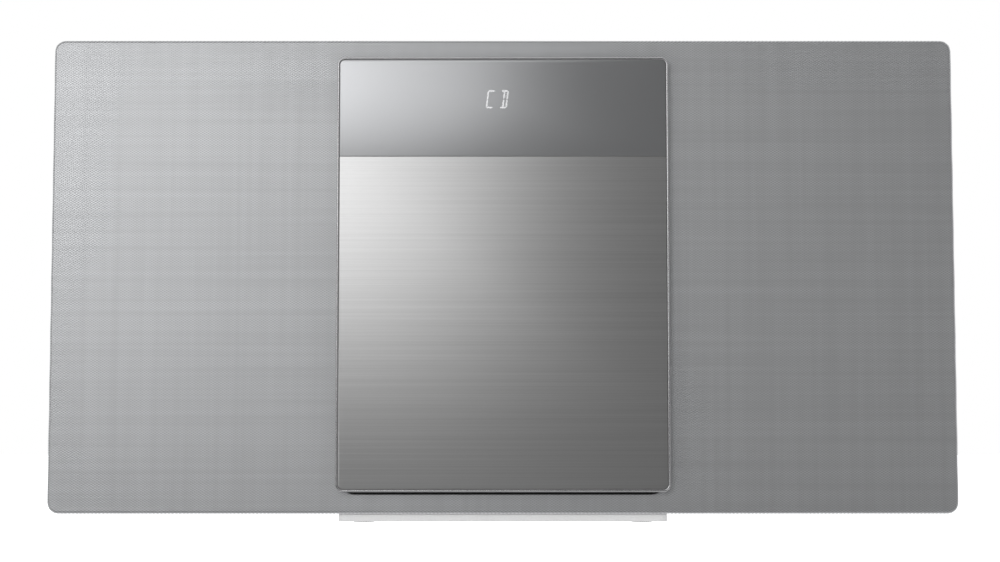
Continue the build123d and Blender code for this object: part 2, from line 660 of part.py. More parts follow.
# ---------------------------------------------------------------- door drive
def drive_gear():
    """Compound gear: the pinion that moves the rack and the wheel that the motor turns."""
    body = gear_disc(PINION_TEETH, -pi / 2, GEAR_X, (PINION_TIER[0], WHEEL_TIER[0]), GEAR_Z)
    body += gear_disc(WHEEL_TEETH, pi / 2, GEAR_X, WHEEL_TIER, GEAR_Z)
    return body - rod_y(GEAR_X, (-40, -20), GEAR_Z, ROD_R + RUNNING_GAP)


def motor_pinion():
    """Small gear on the motor's shaft, with a tooth space facing the wheel."""
    body = gear_disc(MOTOR_TEETH, -pi / 2 + pi / MOTOR_TEETH, GEAR_X, WHEEL_TIER, MOTOR_Z)
    return body + rod_y(GEAR_X, (WHEEL_TIER[0] - 0.8, -10.0), MOTOR_Z, SPINDLE_R)


def drive_bracket():
    """Pressed plate for the motor and the gear's post, on three pillars behind the baffle."""
    plate = slab(BRACKET_X, BRACKET_Y, BRACKET_Z, 3.0)
    plate += rod_y(GEAR_X, (-34.8, BRACKET_Y[0] + BITE), GEAR_Z, ROD_R)
    for z in PILLAR_ZS:
        plate += rod_y(PILLAR_X, (BAFFLE_BACK_Y, BRACKET_Y[0] + BITE), z, PILLAR_R)
    return plate - rod_y(GEAR_X, (BRACKET_Y[0] - PAST, BRACKET_Y[1] + PAST), MOTOR_Z, MOTOR_BOSS_R + 0.1)


def drive_motor():
    """Door motor can with its front bearing boss and solder tabs."""
    can = rod_y(GEAR_X, (BRACKET_Y[1], DOOR_MOTOR_BACK_Y), MOTOR_Z, DOOR_MOTOR_R)
    can -= block((GEAR_X + DOOR_MOTOR_FLAT, GEAR_X + DOOR_MOTOR_R + PAST),
                 (BRACKET_Y[1] - PAST, DOOR_MOTOR_BACK_Y + PAST),
                 (MOTOR_Z - DOOR_MOTOR_R - PAST, MOTOR_Z + DOOR_MOTOR_R + PAST))
    can += rod_y(GEAR_X, (BRACKET_Y[0], BRACKET_Y[1] + BITE), MOTOR_Z, MOTOR_BOSS_R)
    for side in (-1, 1):
        can += block((GEAR_X + side * 4 - 0.8, GEAR_X + side * 4 + 0.8), (DOOR_MOTOR_BACK_Y - BITE, 1.0),
                     (MOTOR_Z - 0.25, MOTOR_Z + 0.25))
    return can - rod_y(GEAR_X, (-30, -9.5), MOTOR_Z, SPINDLE_R + RUNNING_GAP)


# ---------------------------------------------------------------- disc mechanism
def sled_holder_spots():
    """The z limits of the blocks that hold the sled rods' ends."""
    return [(z - 4.0, z + 3.4) if z < DISC_Z else (z - 3.4, z + 3.0) for z in SLED_ROD_ZS]


def cd_chassis():
    """Mechanism plate on rubber bushes, with blocks for the sled rods and the lead screw."""
    plate = slab(CHASSIS_X, CHASSIS_Y, CHASSIS_Z, 4.0)
    holder_y = (SLED_ROD_Y - HOLDER_DEPTH, CHASSIS_Y[0] + BITE)
    through_y = (CHASSIS_Y[0] - PAST, CHASSIS_Y[1] + PAST)
    for z in sled_holder_spots():
        for x in (LEFT_HOLDER_X, RIGHT_HOLDER_X):
            plate += block(x, holder_y, z)
    plate += block(RIGHT_HOLDER_X, holder_y, (LEAD_SCREW_Z - 4.0, LEAD_SCREW_Z + 3.6))
    for z in SLED_ROD_ZS:
        plate -= rod_x(SLED_ROD_X, SLED_ROD_Y, z, ROD_R)
    plate -= rod_x((55.0, SLED_ROD_X[1]), SLED_ROD_Y, LEAD_SCREW_Z, LEAD_SCREW_R + RUNNING_GAP)
    for x, z in BUSH_SPOTS:
        plate -= rod_y(x, through_y, z, BUSH_WAIST_R)
    plate -= rod_y(DISC_X, through_y, DISC_Z, 3.0)
    plate -= slab((14.0, 52.0), through_y, (86.0, 104.0), 3.0)
    return plate


def damper_bushes():
    """Four rubber bushes: waisted rings that carry the plate on the fascia's posts."""
    front_y = CHASSIS_Y[0] - BUSH_LIP
    back_y = CHASSIS_Y[1] + BUSH_LIP
    profile = [(POST_R, front_y), (BUSH_R, front_y), (BUSH_R, CHASSIS_Y[0]), (BUSH_WAIST_R, CHASSIS_Y[0]),
               (BUSH_WAIST_R, CHASSIS_Y[1]), (BUSH_R, CHASSIS_Y[1]), (BUSH_R, back_y), (POST_R, back_y)]
    return Compound([turned(profile, x, z) for x, z in BUSH_SPOTS])


def spindle_motor():
    """Flat motor that turns the disc."""
    can = rod_y(DISC_X, (SPINDLE_MOTOR_FRONT_Y, CHASSIS_Y[0]), DISC_Z, SPINDLE_MOTOR_R)
    can = fillet(can.faces().sort_by(Axis.Y)[0].edges(), 1.2)
    shaft_y = (SPINDLE_MOTOR_FRONT_Y - PAST, CHASSIS_Y[0] - PAST)
    return can - rod_y(DISC_X, shaft_y, DISC_Z, SPINDLE_R + RUNNING_GAP)


def turntable_hub():
    """Disc table with its centring cone, three grip bumps and the motor's shaft."""
    profile = [(0, -34.0), (4.6, -34.0), (7.2, -32.6), (7.4, -30.6), (TABLE_R, -30.6),
               (TABLE_R, -28.4), (3.2, -28.4), (3.2, -25.2), (SPINDLE_R, -25.2),
               (SPINDLE_R, -15.2), (0, -15.2)]
    hub = turned(profile, DISC_X, DISC_Z)
    for turn in (90, 210, 330):
        x = DISC_X + 6.4 * cos(radians(turn))
        z = DISC_Z + 6.4 * sin(radians(turn))
        hub += Pos(x, -32.3, z) * Sphere(1.4)
    return hub


def sled_rods():
    """Two steel rods that the pickup runs on."""
    return Compound([rod_x(SLED_ROD_X, SLED_ROD_Y, z, ROD_R) for z in SLED_ROD_ZS])


def sled_motor():
    """Small motor at the end of the lead screw."""
    can = rod_x((-26.0, -8.6), SLED_ROD_Y, LEAD_SCREW_Z, 5.2)
    can += rod_x((-8.7, -5.2), SLED_ROD_Y, LEAD_SCREW_Z, 2.6)
    return can - rod_x((-13.0, 0.0), SLED_ROD_Y, LEAD_SCREW_Z, SPINDLE_R + RUNNING_GAP)


def sled_lead_screw():
    """Lead screw on the motor's shaft, with ring grooves along the pickup's travel."""
    screw = rod_x((-4.6, 65.0), SLED_ROD_Y, LEAD_SCREW_Z, LEAD_SCREW_R)
    screw += rod_x((-12.5, -4.5), SLED_ROD_Y, LEAD_SCREW_Z, SPINDLE_R)
    for groove in range(SCREW_GROOVES):
        start_x = 2.0 + GROOVE_PITCH * groove
        x = (start_x, start_x + GROOVE_WIDTH)
        core = rod_x(x, SLED_ROD_Y, LEAD_SCREW_Z, LEAD_SCREW_R - GROOVE_DEPTH)
        screw -= rod_x(x, SLED_ROD_Y, LEAD_SCREW_Z, LEAD_SCREW_R + PAST) - core
    return screw


def optical_pickup():
    """Laser pickup: a cast block on the sled rods with a turret round the lens."""
    body = block((2.0, 26.0), (-24.6, -15.2), (76.2, 104.0))
    body += block((10.0, 26.0), (-23.4, -15.2), (103.9, 121.4))
    body += block((PICKUP_INNER_X - 4.2, PICKUP_INNER_X + 4.2), (-28.0, -24.5),
                  (DISC_Z - 6.0, DISC_Z + 6.0))
    for z in SLED_ROD_ZS:
        body -= rod_x(SLED_ROD_X, SLED_ROD_Y, z, ROD_R + RUNNING_GAP)
    body -= rod_x(SLED_ROD_X, SLED_ROD_Y, LEAD_SCREW_Z, LEAD_SCREW_R + 0.1)
    return body - rod_y(PICKUP_INNER_X, (-29, -26.0), DISC_Z, LENS_HOLDER_R + 0.4)


def objective_lens():
    """Lens in its holder, which floats in the turret."""
    holder = rod_y(PICKUP_INNER_X, (-28.3, -27.0), DISC_Z, LENS_HOLDER_R)
    lens = Pos(PICKUP_INNER_X, -26.9, DISC_Z) * Sphere(2.3)
    lens &= block((PICKUP_INNER_X - 4, PICKUP_INNER_X + 4), (-30, -27.5), (DISC_Z - 4, DISC_Z + 4))
    return holder + lens


# ---------------------------------------------------------------- loudspeakers
def driver_basket(x):
    """Pressed steel basket: a flange, a sloping wall with windows and a back ring."""
    profile = [(28.0, BAFFLE_BACK_Y), (DRIVER_FLANGE_R, BAFFLE_BACK_Y), (DRIVER_FLANGE_R, -33.2),
               (29.8, -33.2), (19.6, -12.2), (19.6, -10.4), (10.2, -10.4), (10.2, -12.2),
               (18.0, -12.2), (28.0, -32.8)]
    basket = turned(profile, x, DRIVER_Z)
    wide, high = BASKET_WINDOW
    window = block((12.0, 40.0), (-29.0, -29.0 + high), (-wide / 2, wide / 2))
    for turn in range(4):
        basket -= Pos(x, 0, DRIVER_Z) * Rot(0, 45 + 90 * turn, 0) * window
    return basket


def driver_magnet(x):
    """Ferrite ring with its plates and pole: a ring-shaped slot takes the voice coil."""
    profile = [(0, -11.6), (7.2, -11.6), (7.2, -3.0), (9.6, -3.0), (9.6, -10.4), (22.0, -10.4),
               (22.0, 6.0), (0, 6.0)]
    return turned(profile, x, DRIVER_Z)


def driver_cone(x):
    """Paper cone with its dust cap and voice coil former."""
    profile = [(0, -24.4), (4.5, -24.0), (8.0, -22.2), (23.6, -33.8), (24.2, -33.8), (24.2, -33.1),
               (8.7, -21.0), (8.7, -7.0), (8.1, -7.0), (8.1, -21.2), (4.2, -23.2), (0, -23.6)]
    return turned(profile, x, DRIVER_Z)


def roll_surround(x, z, inner_r, outer_r, rise):
    """Rubber half-roll between a diaphragm and its frame."""
    middle = (inner_r + outer_r) / 2
    half = (outer_r - inner_r) / 2
    turns = [pi * step / SURROUND_STEPS for step in range(SURROUND_STEPS + 1)]
    outer = [(middle + half * cos(t), SURROUND_BASE_Y - rise * sin(t)) for t in turns]
    half -= SURROUND_WALL
    rise -= SURROUND_WALL
    inner = [(middle + half * cos(t), SURROUND_BASE_Y - rise * sin(t)) for t in reversed(turns)]
    return turned(outer + inner, x, z)


def passive_frame(x):
    """Ring that holds a passive radiator behind the baffle."""
    back_y = PASSIVE_FRAME_BACK_Y
    profile = [(PASSIVE_FRAME_R, BAFFLE_BACK_Y), (PASSIVE_FLANGE_R, BAFFLE_BACK_Y),
               (PASSIVE_FLANGE_R, back_y), (PASSIVE_FRAME_R, back_y)]
    return turned(profile, x, PASSIVE_Z)


def passive_cone(x):
    """Stiff disc with a tuning weight behind it."""
    profile = [(0, -34.6), (20.0, -34.2), (28.0, -34.2), (28.0, -32.8), (12.0, -32.8), (12.0, -28.4),
               (0, -28.4)]
    return turned(profile, x, PASSIVE_Z)


# ---------------------------------------------------------------- electronics
def main_board():
    """Decoder and amplifier board with its larger components."""
    y = MAIN_BOARD_Y
    board = block(MAIN_BOARD_X, (y, y + BOARD_THICKNESS), MAIN_BOARD_Z)
    chips = ((-30, 150, 20, 20, 1.6), (18, 160, 14, 10, 1.4), (40, 110, 18, 18, 2.2),
             (-48, 96, 12, 8, 1.4), (4, 84, 10, 26, 4.5), (-14, 184, 40, 6, 5.0))
    for x, z, wide, tall, high in chips:
        board += block((x - wide / 2, x + wide / 2), (y - high, y + BITE), (z - tall / 2, z + tall / 2))
    cans = ((52, 150, 4.0, 9.0), (52, 162, 4.0, 9.0), (-60, 130, 3.2, 7.0), (-60, 118, 3.2, 7.0),
            (30, 182, 3.2, 7.0))
    for x, z, radius, high in cans:
        board += rod_y(x, (y - high, y + BITE), z, radius)
    return board


def power_board():
    """Power supply board with its transformer, reservoir capacitors and fuse."""
    y = POWER_BOARD_Y
    board = block(POWER_BOARD_X, (y, y + BOARD_THICKNESS), POWER_BOARD_Z)
    notch_x = INLET_HALF[0] + 1.4
    board -= block((INLET_X - notch_x, INLET_X + notch_x), (y - PAST, y + BOARD_THICKNESS + PAST),
                   (POWER_BOARD_Z[0] - PAST, SOCKET_Z + 8.4))
    board += block((-134.0, -112.0), (-12.0, y + BITE), (36.0, 58.0))
    for x, radius in ((-100.0, 6.5), (-85.5, 6.0)):
        board += rod_y(x, (-14.0, y + BITE), 50.0, radius)
    return board + block((-137.0, -117.0), (1.0, y + BITE), (14.0, 19.0))


def heat_sink():
    """Extruded aluminium heat sink for the amplifier."""
    sink = block(HEAT_SINK_X, (5.0, 8.0), HEAT_SINK_Z)
    fin_pitch = (HEAT_SINK_X[1] - HEAT_SINK_X[0] - FIN_WIDTH) / (FIN_COUNT - 1)
    for fin in range(FIN_COUNT):
        x = HEAT_SINK_X[0] + fin * fin_pitch
        sink += block((x, x + FIN_WIDTH), (8.0 - BITE, 18.5), HEAT_SINK_Z)
    return sink


def button_board():
    """Board under the buttons with one tact switch for each."""
    half_x, half_y = BUTTON_BOARD_HALF
    board = block((-half_x, half_x), (BUTTON_Y - half_y, BUTTON_Y + half_y), BUTTON_BOARD_Z)
    for button in range(len(BUTTON_NAMES)):
        x = button_x(button)
        board += block((x - 3, x + 3), (BUTTON_Y - 3, BUTTON_Y + 3), (BUTTON_BOARD_Z[1] - BITE, 213.4))
    return board


def mains_inlet():
    """Figure-of-eight mains inlet with two pins."""
    half_x, half_z = INLET_HALF
    body = block((INLET_X - half_x, INLET_X + half_x), (INLET_FRONT_Y, CABINET_REAR_Y),
                 (SOCKET_Z - half_z, SOCKET_Z + half_z))
    half_x, half_z = INLET_RECESS
    floor_y = INLET_FRONT_Y + 5.0
    body -= slab((INLET_X - half_x, INLET_X + half_x), (floor_y, CABINET_REAR_Y + PAST),
                 (SOCKET_Z - half_z, SOCKET_Z + half_z), half_z - 0.1)
    for side in (-1, 1):
        x = INLET_X + side * INLET_PIN_X
        body += rod_y(x, (floor_y - BITE, CABINET_REAR_Y - 5.0), SOCKET_Z, INLET_PIN_R)
    return body


def antenna_terminal():
    """Coaxial aerial socket."""
    body = rod_y(ANTENNA_X, (8.0, CABINET_REAR_Y), SOCKET_Z, ANTENNA_R)
    body -= rod_y(ANTENNA_X, (12.5, CABINET_REAR_Y + PAST), SOCKET_Z, ANTENNA_R - 1.6)
    ferrule = rod_y(ANTENNA_X, (12.4, CABINET_REAR_Y - 2.0), SOCKET_Z, 1.9)
    return body + ferrule - rod_y(ANTENNA_X, (14.0, CABINET_REAR_Y + PAST), SOCKET_Z, 1.2)


def aux_jack():
    """Rear 3.5 mm input jack."""
    half = JACK_BODY_HALF
    wall_y = CABINET_REAR_Y - CABINET_WALL
    body = block((AUX_X - half - 1, AUX_X + half + 1), (6.0, wall_y), (SOCKET_Z - half, SOCKET_Z + half))
    body += rod_y(AUX_X, (wall_y - BITE, CABINET_REAR_Y), SOCKET_Z, JACK_COLLAR_R)
    return body - rod_y(AUX_X, (8.5, CABINET_REAR_Y + PAST), SOCKET_Z, JACK_R)


def headphone_jack():
    """Side 3.5 mm headphone jack."""
    face_x = HALF_WIDTH - CABINET_INSET
    wall_x = face_x - CABINET_WALL
    y = SIDE_SOCKET_Y
    half = JACK_BODY_HALF
    body = block((face_x - 16.5, wall_x), (y - half, y + half), (HEADPHONE_Z - half, HEADPHONE_Z + half))
    body += rod_x((wall_x - BITE, face_x), y, HEADPHONE_Z, JACK_COLLAR_R)
    return body - rod_x((face_x - 14.0, face_x + PAST), y, HEADPHONE_Z, JACK_R)


def usb_port():
    """Side USB socket: a folded steel shell with the contact tongue inside."""
    face_x = HALF_WIDTH - CABINET_INSET
    y = SIDE_SOCKET_Y
    half_y, half_z = USB_HALF
    shell = block((face_x - 15.0, face_x), (y - half_y, y + half_y), (USB_Z - half_z, USB_Z + half_z))
    half_y -= USB_WALL
    half_z -= USB_WALL
    shell -= block((face_x - 13.5, face_x + PAST), (y - half_y, y + half_y), (USB_Z - half_z, USB_Z + half_z))
    half_z -= 1.0
    return shell + block((face_x - 13.6, face_x - 4.0), (y - 2.2, y - 0.3), (USB_Z - half_z, USB_Z + half_z))


# ---------------------------------------------------------------- buttons
def button_x(index):
    """The middle of one button along the row."""
    return (index - (len(BUTTON_NAMES) - 1) / 2) * BUTTON_PITCH


def button(index):
    """One button: a cap through the cabinet's top, a retaining flange and a stem."""
    x = button_x(index)
    half_x, half_y = BUTTON_SIZE[0] / 2, BUTTON_SIZE[1] / 2
    flange_top_z = CABINET_TOP_Z - CABINET_WALL - 0.1
    flange_x = half_x + 0.9
    flange_y = half_y + 1.0
    cap = block((x - half_x, x + half_x), (BUTTON_Y - half_y, BUTTON_Y + half_y),
                (flange_top_z - 0.2, BUTTON_TOP_Z))
    cap = fillet(cap.edges().filter_by(Axis.Z), 1.0)
    cap = fillet(cap.faces().sort_by(Axis.Z)[-1].edges(), 0.5)
    flange_low_z = flange_top_z - BUTTON_FLANGE
    cap += block((x - flange_x, x + flange_x), (BUTTON_Y - flange_y, BUTTON_Y + flange_y),
                 (flange_low_z, flange_top_z))
    return cap + rod_z(x, BUTTON_Y, (BUTTON_STEM_Z, flange_low_z + BITE), BUTTON_STEM_R)


# ---------------------------------------------------------------- write every node
PIECES = {
    "rear_cabinet": rear_cabinet,
    "front_baffle": front_baffle,
    "grille_frame": grille_frame,
    "grille_cloth": grille_cloth,
    "inner_fascia": inner_fascia,
    "stand": stand,
    "stand_feet": stand_feet,
    "cabinet_screws": cabinet_screws,
    "guide_rods": guide_rods,
    "drive_motor": drive_motor,
    "drive_bracket": drive_bracket,
    "cd_chassis": cd_chassis,
    "damper_bushes": damper_bushes,
    "spindle_motor": spindle_motor,
    "sled_rods": sled_rods,
    "sled_motor": sled_motor,
    "main_board": main_board,
    "power_board": power_board,
    "heat_sink": heat_sink,
    "display_board": display_board,
    "display_lens": display_lens,
    "remote_sensor": remote_sensor,
    "mains_inlet": mains_inlet,
    "antenna_terminal": antenna_terminal,
    "aux_jack": aux_jack,
    "usb_port": usb_port,
    "headphone_jack": headphone_jack,
    "button_board": button_board,
    "door_rim": door_rim,
    "door_back": door_back,
    "door_rack": door_rack,
    "upper_carriage": upper_carriage,
    "drive_gear": drive_gear,
    "motor_pinion": motor_pinion,
    "turntable_hub": turntable_hub,
    "optical_pickup": optical_pickup,
    "objective_lens": objective_lens,
    "sled_lead_screw": sled_lead_screw,
}

for node, make in PIECES.items():
    save(make(), node)

save(door_face(DOOR_BOTTOM_Z, PANEL_TOP_Z), "door_panel")
save(door_face(WINDOW_BOTTOM_Z, DOOR_TOP_Z), "door_window")

SIDES = {"left": -SPEAKER_X, "right": SPEAKER_X}
for side_name, side_x in SIDES.items():
    save(driver_cone(side_x), f"driver_cone_{side_name}")
    save(roll_surround(side_x, DRIVER_Z, *DRIVER_ROLL), f"driver_surround_{side_name}")
    save(passive_cone(side_x), f"passive_cone_{side_name}")
    save(roll_surround(side_x, PASSIVE_Z, *PASSIVE_ROLL), f"passive_surround_{side_name}")
save(Compound([driver_basket(x) for x in SIDES.values()]), "driver_baskets")
save(Compound([driver_magnet(x) for x in SIDES.values()]), "driver_magnets")
save(Compound([passive_frame(x) for x in SIDES.values()]), "passive_frames")

for number, button_name in enumerate(BUTTON_NAMES):
    save(button(number), f"{button_name}_button")
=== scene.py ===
"""Looks of a slim compact stereo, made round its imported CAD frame.

A cabinet with a full-width speaker grille stands on a low foot plate. A door in the middle
carries a smoked window over a brushed plate, and slides sideways off a disc well. Everything
is in metres, in the frame's own axes: +Z up, the front faces -Y.
"""

import logging
import math
from dataclasses import dataclass
from enum import Enum

import bmesh
import bpy
import numpy as np
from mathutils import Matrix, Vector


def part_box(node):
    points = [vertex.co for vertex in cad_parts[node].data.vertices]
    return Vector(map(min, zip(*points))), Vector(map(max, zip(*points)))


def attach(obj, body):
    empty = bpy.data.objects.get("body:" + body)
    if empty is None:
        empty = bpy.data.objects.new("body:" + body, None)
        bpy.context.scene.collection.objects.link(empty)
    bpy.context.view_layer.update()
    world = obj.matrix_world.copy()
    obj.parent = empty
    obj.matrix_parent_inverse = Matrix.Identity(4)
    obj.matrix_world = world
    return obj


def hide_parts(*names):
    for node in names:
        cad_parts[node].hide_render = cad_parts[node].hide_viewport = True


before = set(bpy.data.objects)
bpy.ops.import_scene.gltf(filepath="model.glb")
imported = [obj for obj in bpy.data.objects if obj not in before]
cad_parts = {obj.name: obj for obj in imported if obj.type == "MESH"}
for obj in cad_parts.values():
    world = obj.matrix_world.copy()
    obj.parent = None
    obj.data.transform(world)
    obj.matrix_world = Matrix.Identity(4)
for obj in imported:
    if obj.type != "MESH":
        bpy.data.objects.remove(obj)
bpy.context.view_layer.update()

LOG = logging.getLogger("stereo")
MM = 0.001
TAU = 2 * math.pi
SINK = 0.02 * MM
MERGE = 1e-7
WHITE = (1.0, 1.0, 1.0)

Rgb = tuple[float, float, float]
Span = tuple[float, float]


# ------------------------------------------------------------------ shader building
class Wire:
    """One shader socket that carries a number, with arithmetic written as Python.

    Args:
        bench: the node bench that new Math nodes are added to.
        socket: the output socket that is wrapped.
    """

    def __init__(self, bench: "NodeBench", socket: bpy.types.NodeSocket) -> None:
        """Keep the bench and the socket."""
        self.bench = bench
        self.socket = socket

    def maths(self, operation: str, *others: "Wire | float") -> "Wire":
        """Add one Math node.

        Args:
            operation: the Math node's operation.
            others: its other operands, after this one.

        Returns:
            The node's result.
        """
        values = {index: value for index, value in enumerate((self, *others))}
        return self.bench.node("ShaderNodeMath", {"operation": operation}, values)

    def __add__(self, other: "Wire | float") -> "Wire":
        """Sum."""
        return self.maths("ADD", other)

    __radd__ = __add__

    def __mul__(self, other: "Wire | float") -> "Wire":
        """Product."""
        return self.maths("MULTIPLY", other)

    def __sub__(self, other: "Wire | float") -> "Wire":
        """Difference."""
        return self.maths("SUBTRACT", other)

    def __rsub__(self, other: float) -> "Wire":
        """Difference from a number."""
        return self.maths("MULTIPLY", -1.0).maths("ADD", other)

    def cosine(self) -> "Wire":
        """Cosine, in radians."""
        return self.maths("COSINE")

    def step(self, low: float, high: float) -> "Wire":
        """Smooth step from 0 at low to 1 at high.

        Args:
            low: the value where the result leaves 0.
            high: the value where the result reaches 1.

        Returns:
            The stepped value.
        """
        settings = {"interpolation_type": "SMOOTHSTEP"}
        return self.bench.node("ShaderNodeMapRange", settings,
                               {"Value": self, "From Min": low, "From Max": high})


class NodeBench:
    """A node tree that nodes are added to, one call for each node."""

    def __init__(self, tree: bpy.types.NodeTree) -> None:
        """Keep the tree."""
        self.tree = tree

    def node(self, kind: str, settings: dict | None = None, inputs: dict | None = None,
             output: int | str | None = 0) -> Wire | None:
        """Add a node.

        Args:
            kind: the node's type.
            settings: its properties.
            inputs: values or wires for its sockets, by name or number.
            output: the socket that is returned, or None for a node that has none.

        Returns:
            The node's output, wrapped, or None.
        """
        made = self.tree.nodes.new(kind)
        for key, value in (settings or {}).items():
            setattr(made, key, value)
        for key, value in (inputs or {}).items():
            self.plug(made.inputs[key], value)
        return None if output is None else Wire(self, made.outputs[output])

    def plug(self, socket: bpy.types.NodeSocket, value: object) -> None:
        """Link a wire to a socket, or set the socket's own value.

        Args:
            socket: the input socket.
            value: a Wire, a number, or a colour or vector of 3 or 4 numbers.
        """
        if isinstance(value, Wire):
            self.tree.links.new(value.socket, socket)
        elif socket.type == "RGBA" and len(value) == 3:
            socket.default_value = (*value, 1.0)
        else:
            socket.default_value = value


class Bench(NodeBench):
    """The node tree of one material, with a Principled shader ready on it."""

    def __init__(self, name: str) -> None:
        """Make the material and its two fixed nodes.

        Args:
            name: the material's name.
        """
        self.material = bpy.data.materials.new(name)
        self.material.use_nodes = True
        super().__init__(self.material.node_tree)
        self.tree.nodes.clear()
        self.shader = self.tree.nodes.new("ShaderNodeBsdfPrincipled")
        self.node("ShaderNodeOutputMaterial", inputs={"Surface": Wire(self, self.shader.outputs[0])},
                  output=None)
        self.place = None

    def surface(self, **sockets: object) -> None:
        """Set the Principled shader's sockets; an underscore in a name stands for a space."""
        for key, value in sockets.items():
            self.plug(self.shader.inputs[key.replace("_", " ")], value)

    def coordinates(self) -> Wire:
        """The piece's Object coordinates, in metres."""
        if self.place is None:
            self.place = self.node("ShaderNodeTexCoord", output="Object")
        return self.place

    def stretched(self, scale: tuple[float, float, float]) -> Wire:
        """Object coordinates, scaled along each axis."""
        return self.node("ShaderNodeVectorMath", {"operation": "MULTIPLY"},
                         {0: self.coordinates(), 1: scale})

    def axis(self, letter: str) -> Wire:
        """One Object coordinate, X, Y or Z, in metres."""
        return self.node("ShaderNodeSeparateXYZ", inputs={0: self.coordinates()}, output=letter)

    def noise(self, place: Wire, detail: float = 2.0, scale: float = 1.0) -> Wire:
        """Noise from 0 to 1 at a place."""
        return self.node("ShaderNodeTexNoise", inputs={"Vector": place, "Scale": scale,
                                                       "Detail": detail})

    def blend(self, factor: Wire, first: Rgb | Wire, second: Rgb | Wire) -> Wire:
        """Mix two colours by a factor."""
        return self.node("ShaderNodeMix", {"data_type": "RGBA"},
                         {0: factor, 6: first, 7: second}, output=2)

    def bump(self, height: Wire, depth: float) -> Wire:
        """A normal from a height that runs from 0 to 1 over a depth in metres."""
        return self.node("ShaderNodeBump", inputs={"Height": height, "Distance": depth})


def shade(colour: Rgb, factor: float) -> Rgb:
    """A colour made lighter or darker by a factor."""
    return tuple(min(1.0, part * factor) for part in colour)


# ------------------------------------------------------------------ finishes
@dataclass(frozen=True)
class Finish:
    """A finish: its name and its base colour. Each kind adds its own look.

    Attributes:
        name: the material's name.
        colour: linear base colour.
        roughness: mean roughness.
    """

    name: str
    colour: Rgb
    roughness: float = 0.5

    def dress(self, bench: Bench) -> None:
        """Set the look on a bench; every kind of finish has its own."""
        raise NotImplementedError

    def make(self) -> bpy.types.Material:
        """Build the material once and return it from then on."""
        found = bpy.data.materials.get(self.name)
        if found is not None:
            return found
        bench = Bench(self.name)
        self.dress(bench)
        bench.material.diffuse_color = (*self.colour, 1.0)
        return bench.material


@dataclass(frozen=True)
class MouldedPlastic(Finish):
    """Moulded plastic with a spark-eroded grain and slow gloss changes.

    Attributes:
        grain: number of grains in a metre.
        depth: grain depth in metres.
        metal: metallic share, for metal-flake paint in the plastic.
    """

    grain: float = 1400.0
    depth: float = 0.00004
    metal: float = 0.0

    def dress(self, bench: Bench) -> None:
        """Grain as a bump, with cloudy colour and gloss."""
        cloud = bench.noise(bench.coordinates(), 3.0, 22.0)
        grain = bench.noise(bench.coordinates(), 3.0, self.grain)
        colour = bench.blend(cloud, shade(self.colour, 0.955), shade(self.colour, 1.045))
        flecked = bench.blend(grain.step(0.35, 0.75) * 0.14, colour, shade(self.colour, 1.3))
        bench.surface(Base_Color=flecked, Roughness=self.roughness - 0.05 + cloud * 0.06 + grain * 0.05,
                      Metallic=self.metal, Normal=bench.bump(grain, self.depth))


@dataclass(frozen=True)
class BrushedMetal(Finish):
    """Metal brushed along X: long thin scratches in colour, gloss and relief.

    Attributes:
        depth: scratch depth in metres.
        contrast: how much the scratches change the colour.
    """

    depth: float = 0.000012
    contrast: float = 0.16

    def dress(self, bench: Bench) -> None:
        """Two sizes of scratch, both stretched along X."""
        fine = bench.noise(bench.stretched((9.0, 700.0, 5200.0)), 3.0)
        broad = bench.noise(bench.stretched((3.0, 160.0, 900.0)), 2.0)
        scratch = fine * 0.65 + broad * 0.35
        low, high = shade(self.colour, 1 - self.contrast), shade(self.colour, 1 + self.contrast)
        bench.surface(Base_Color=bench.blend(scratch.step(0.25, 0.75), low, high), Metallic=1.0,
                      Roughness=self.roughness - 0.06 + scratch * 0.12,
                      Normal=bench.bump(scratch, self.depth))


@dataclass(frozen=True)
class PlainMetal(Finish):
    """Turned, drawn or plated metal with faint marks.

    Attributes:
        grain: number of marks in a metre.
        depth: mark depth in metres.
    """

    grain: float = 900.0
    depth: float = 0.000008

    def dress(self, bench: Bench) -> None:
        """Fine marks and slow tarnish."""
        tarnish = bench.noise(bench.coordinates(), 4.0, 60.0)
        marks = bench.noise(bench.coordinates(), 2.0, self.grain)
        bench.surface(Base_Color=bench.blend(tarnish, shade(self.colour, 0.9), shade(self.colour, 1.06)),
                      Metallic=1.0, Roughness=self.roughness - 0.05 + tarnish * 0.06 + marks * 0.04,
                      Normal=bench.bump(marks, self.depth))


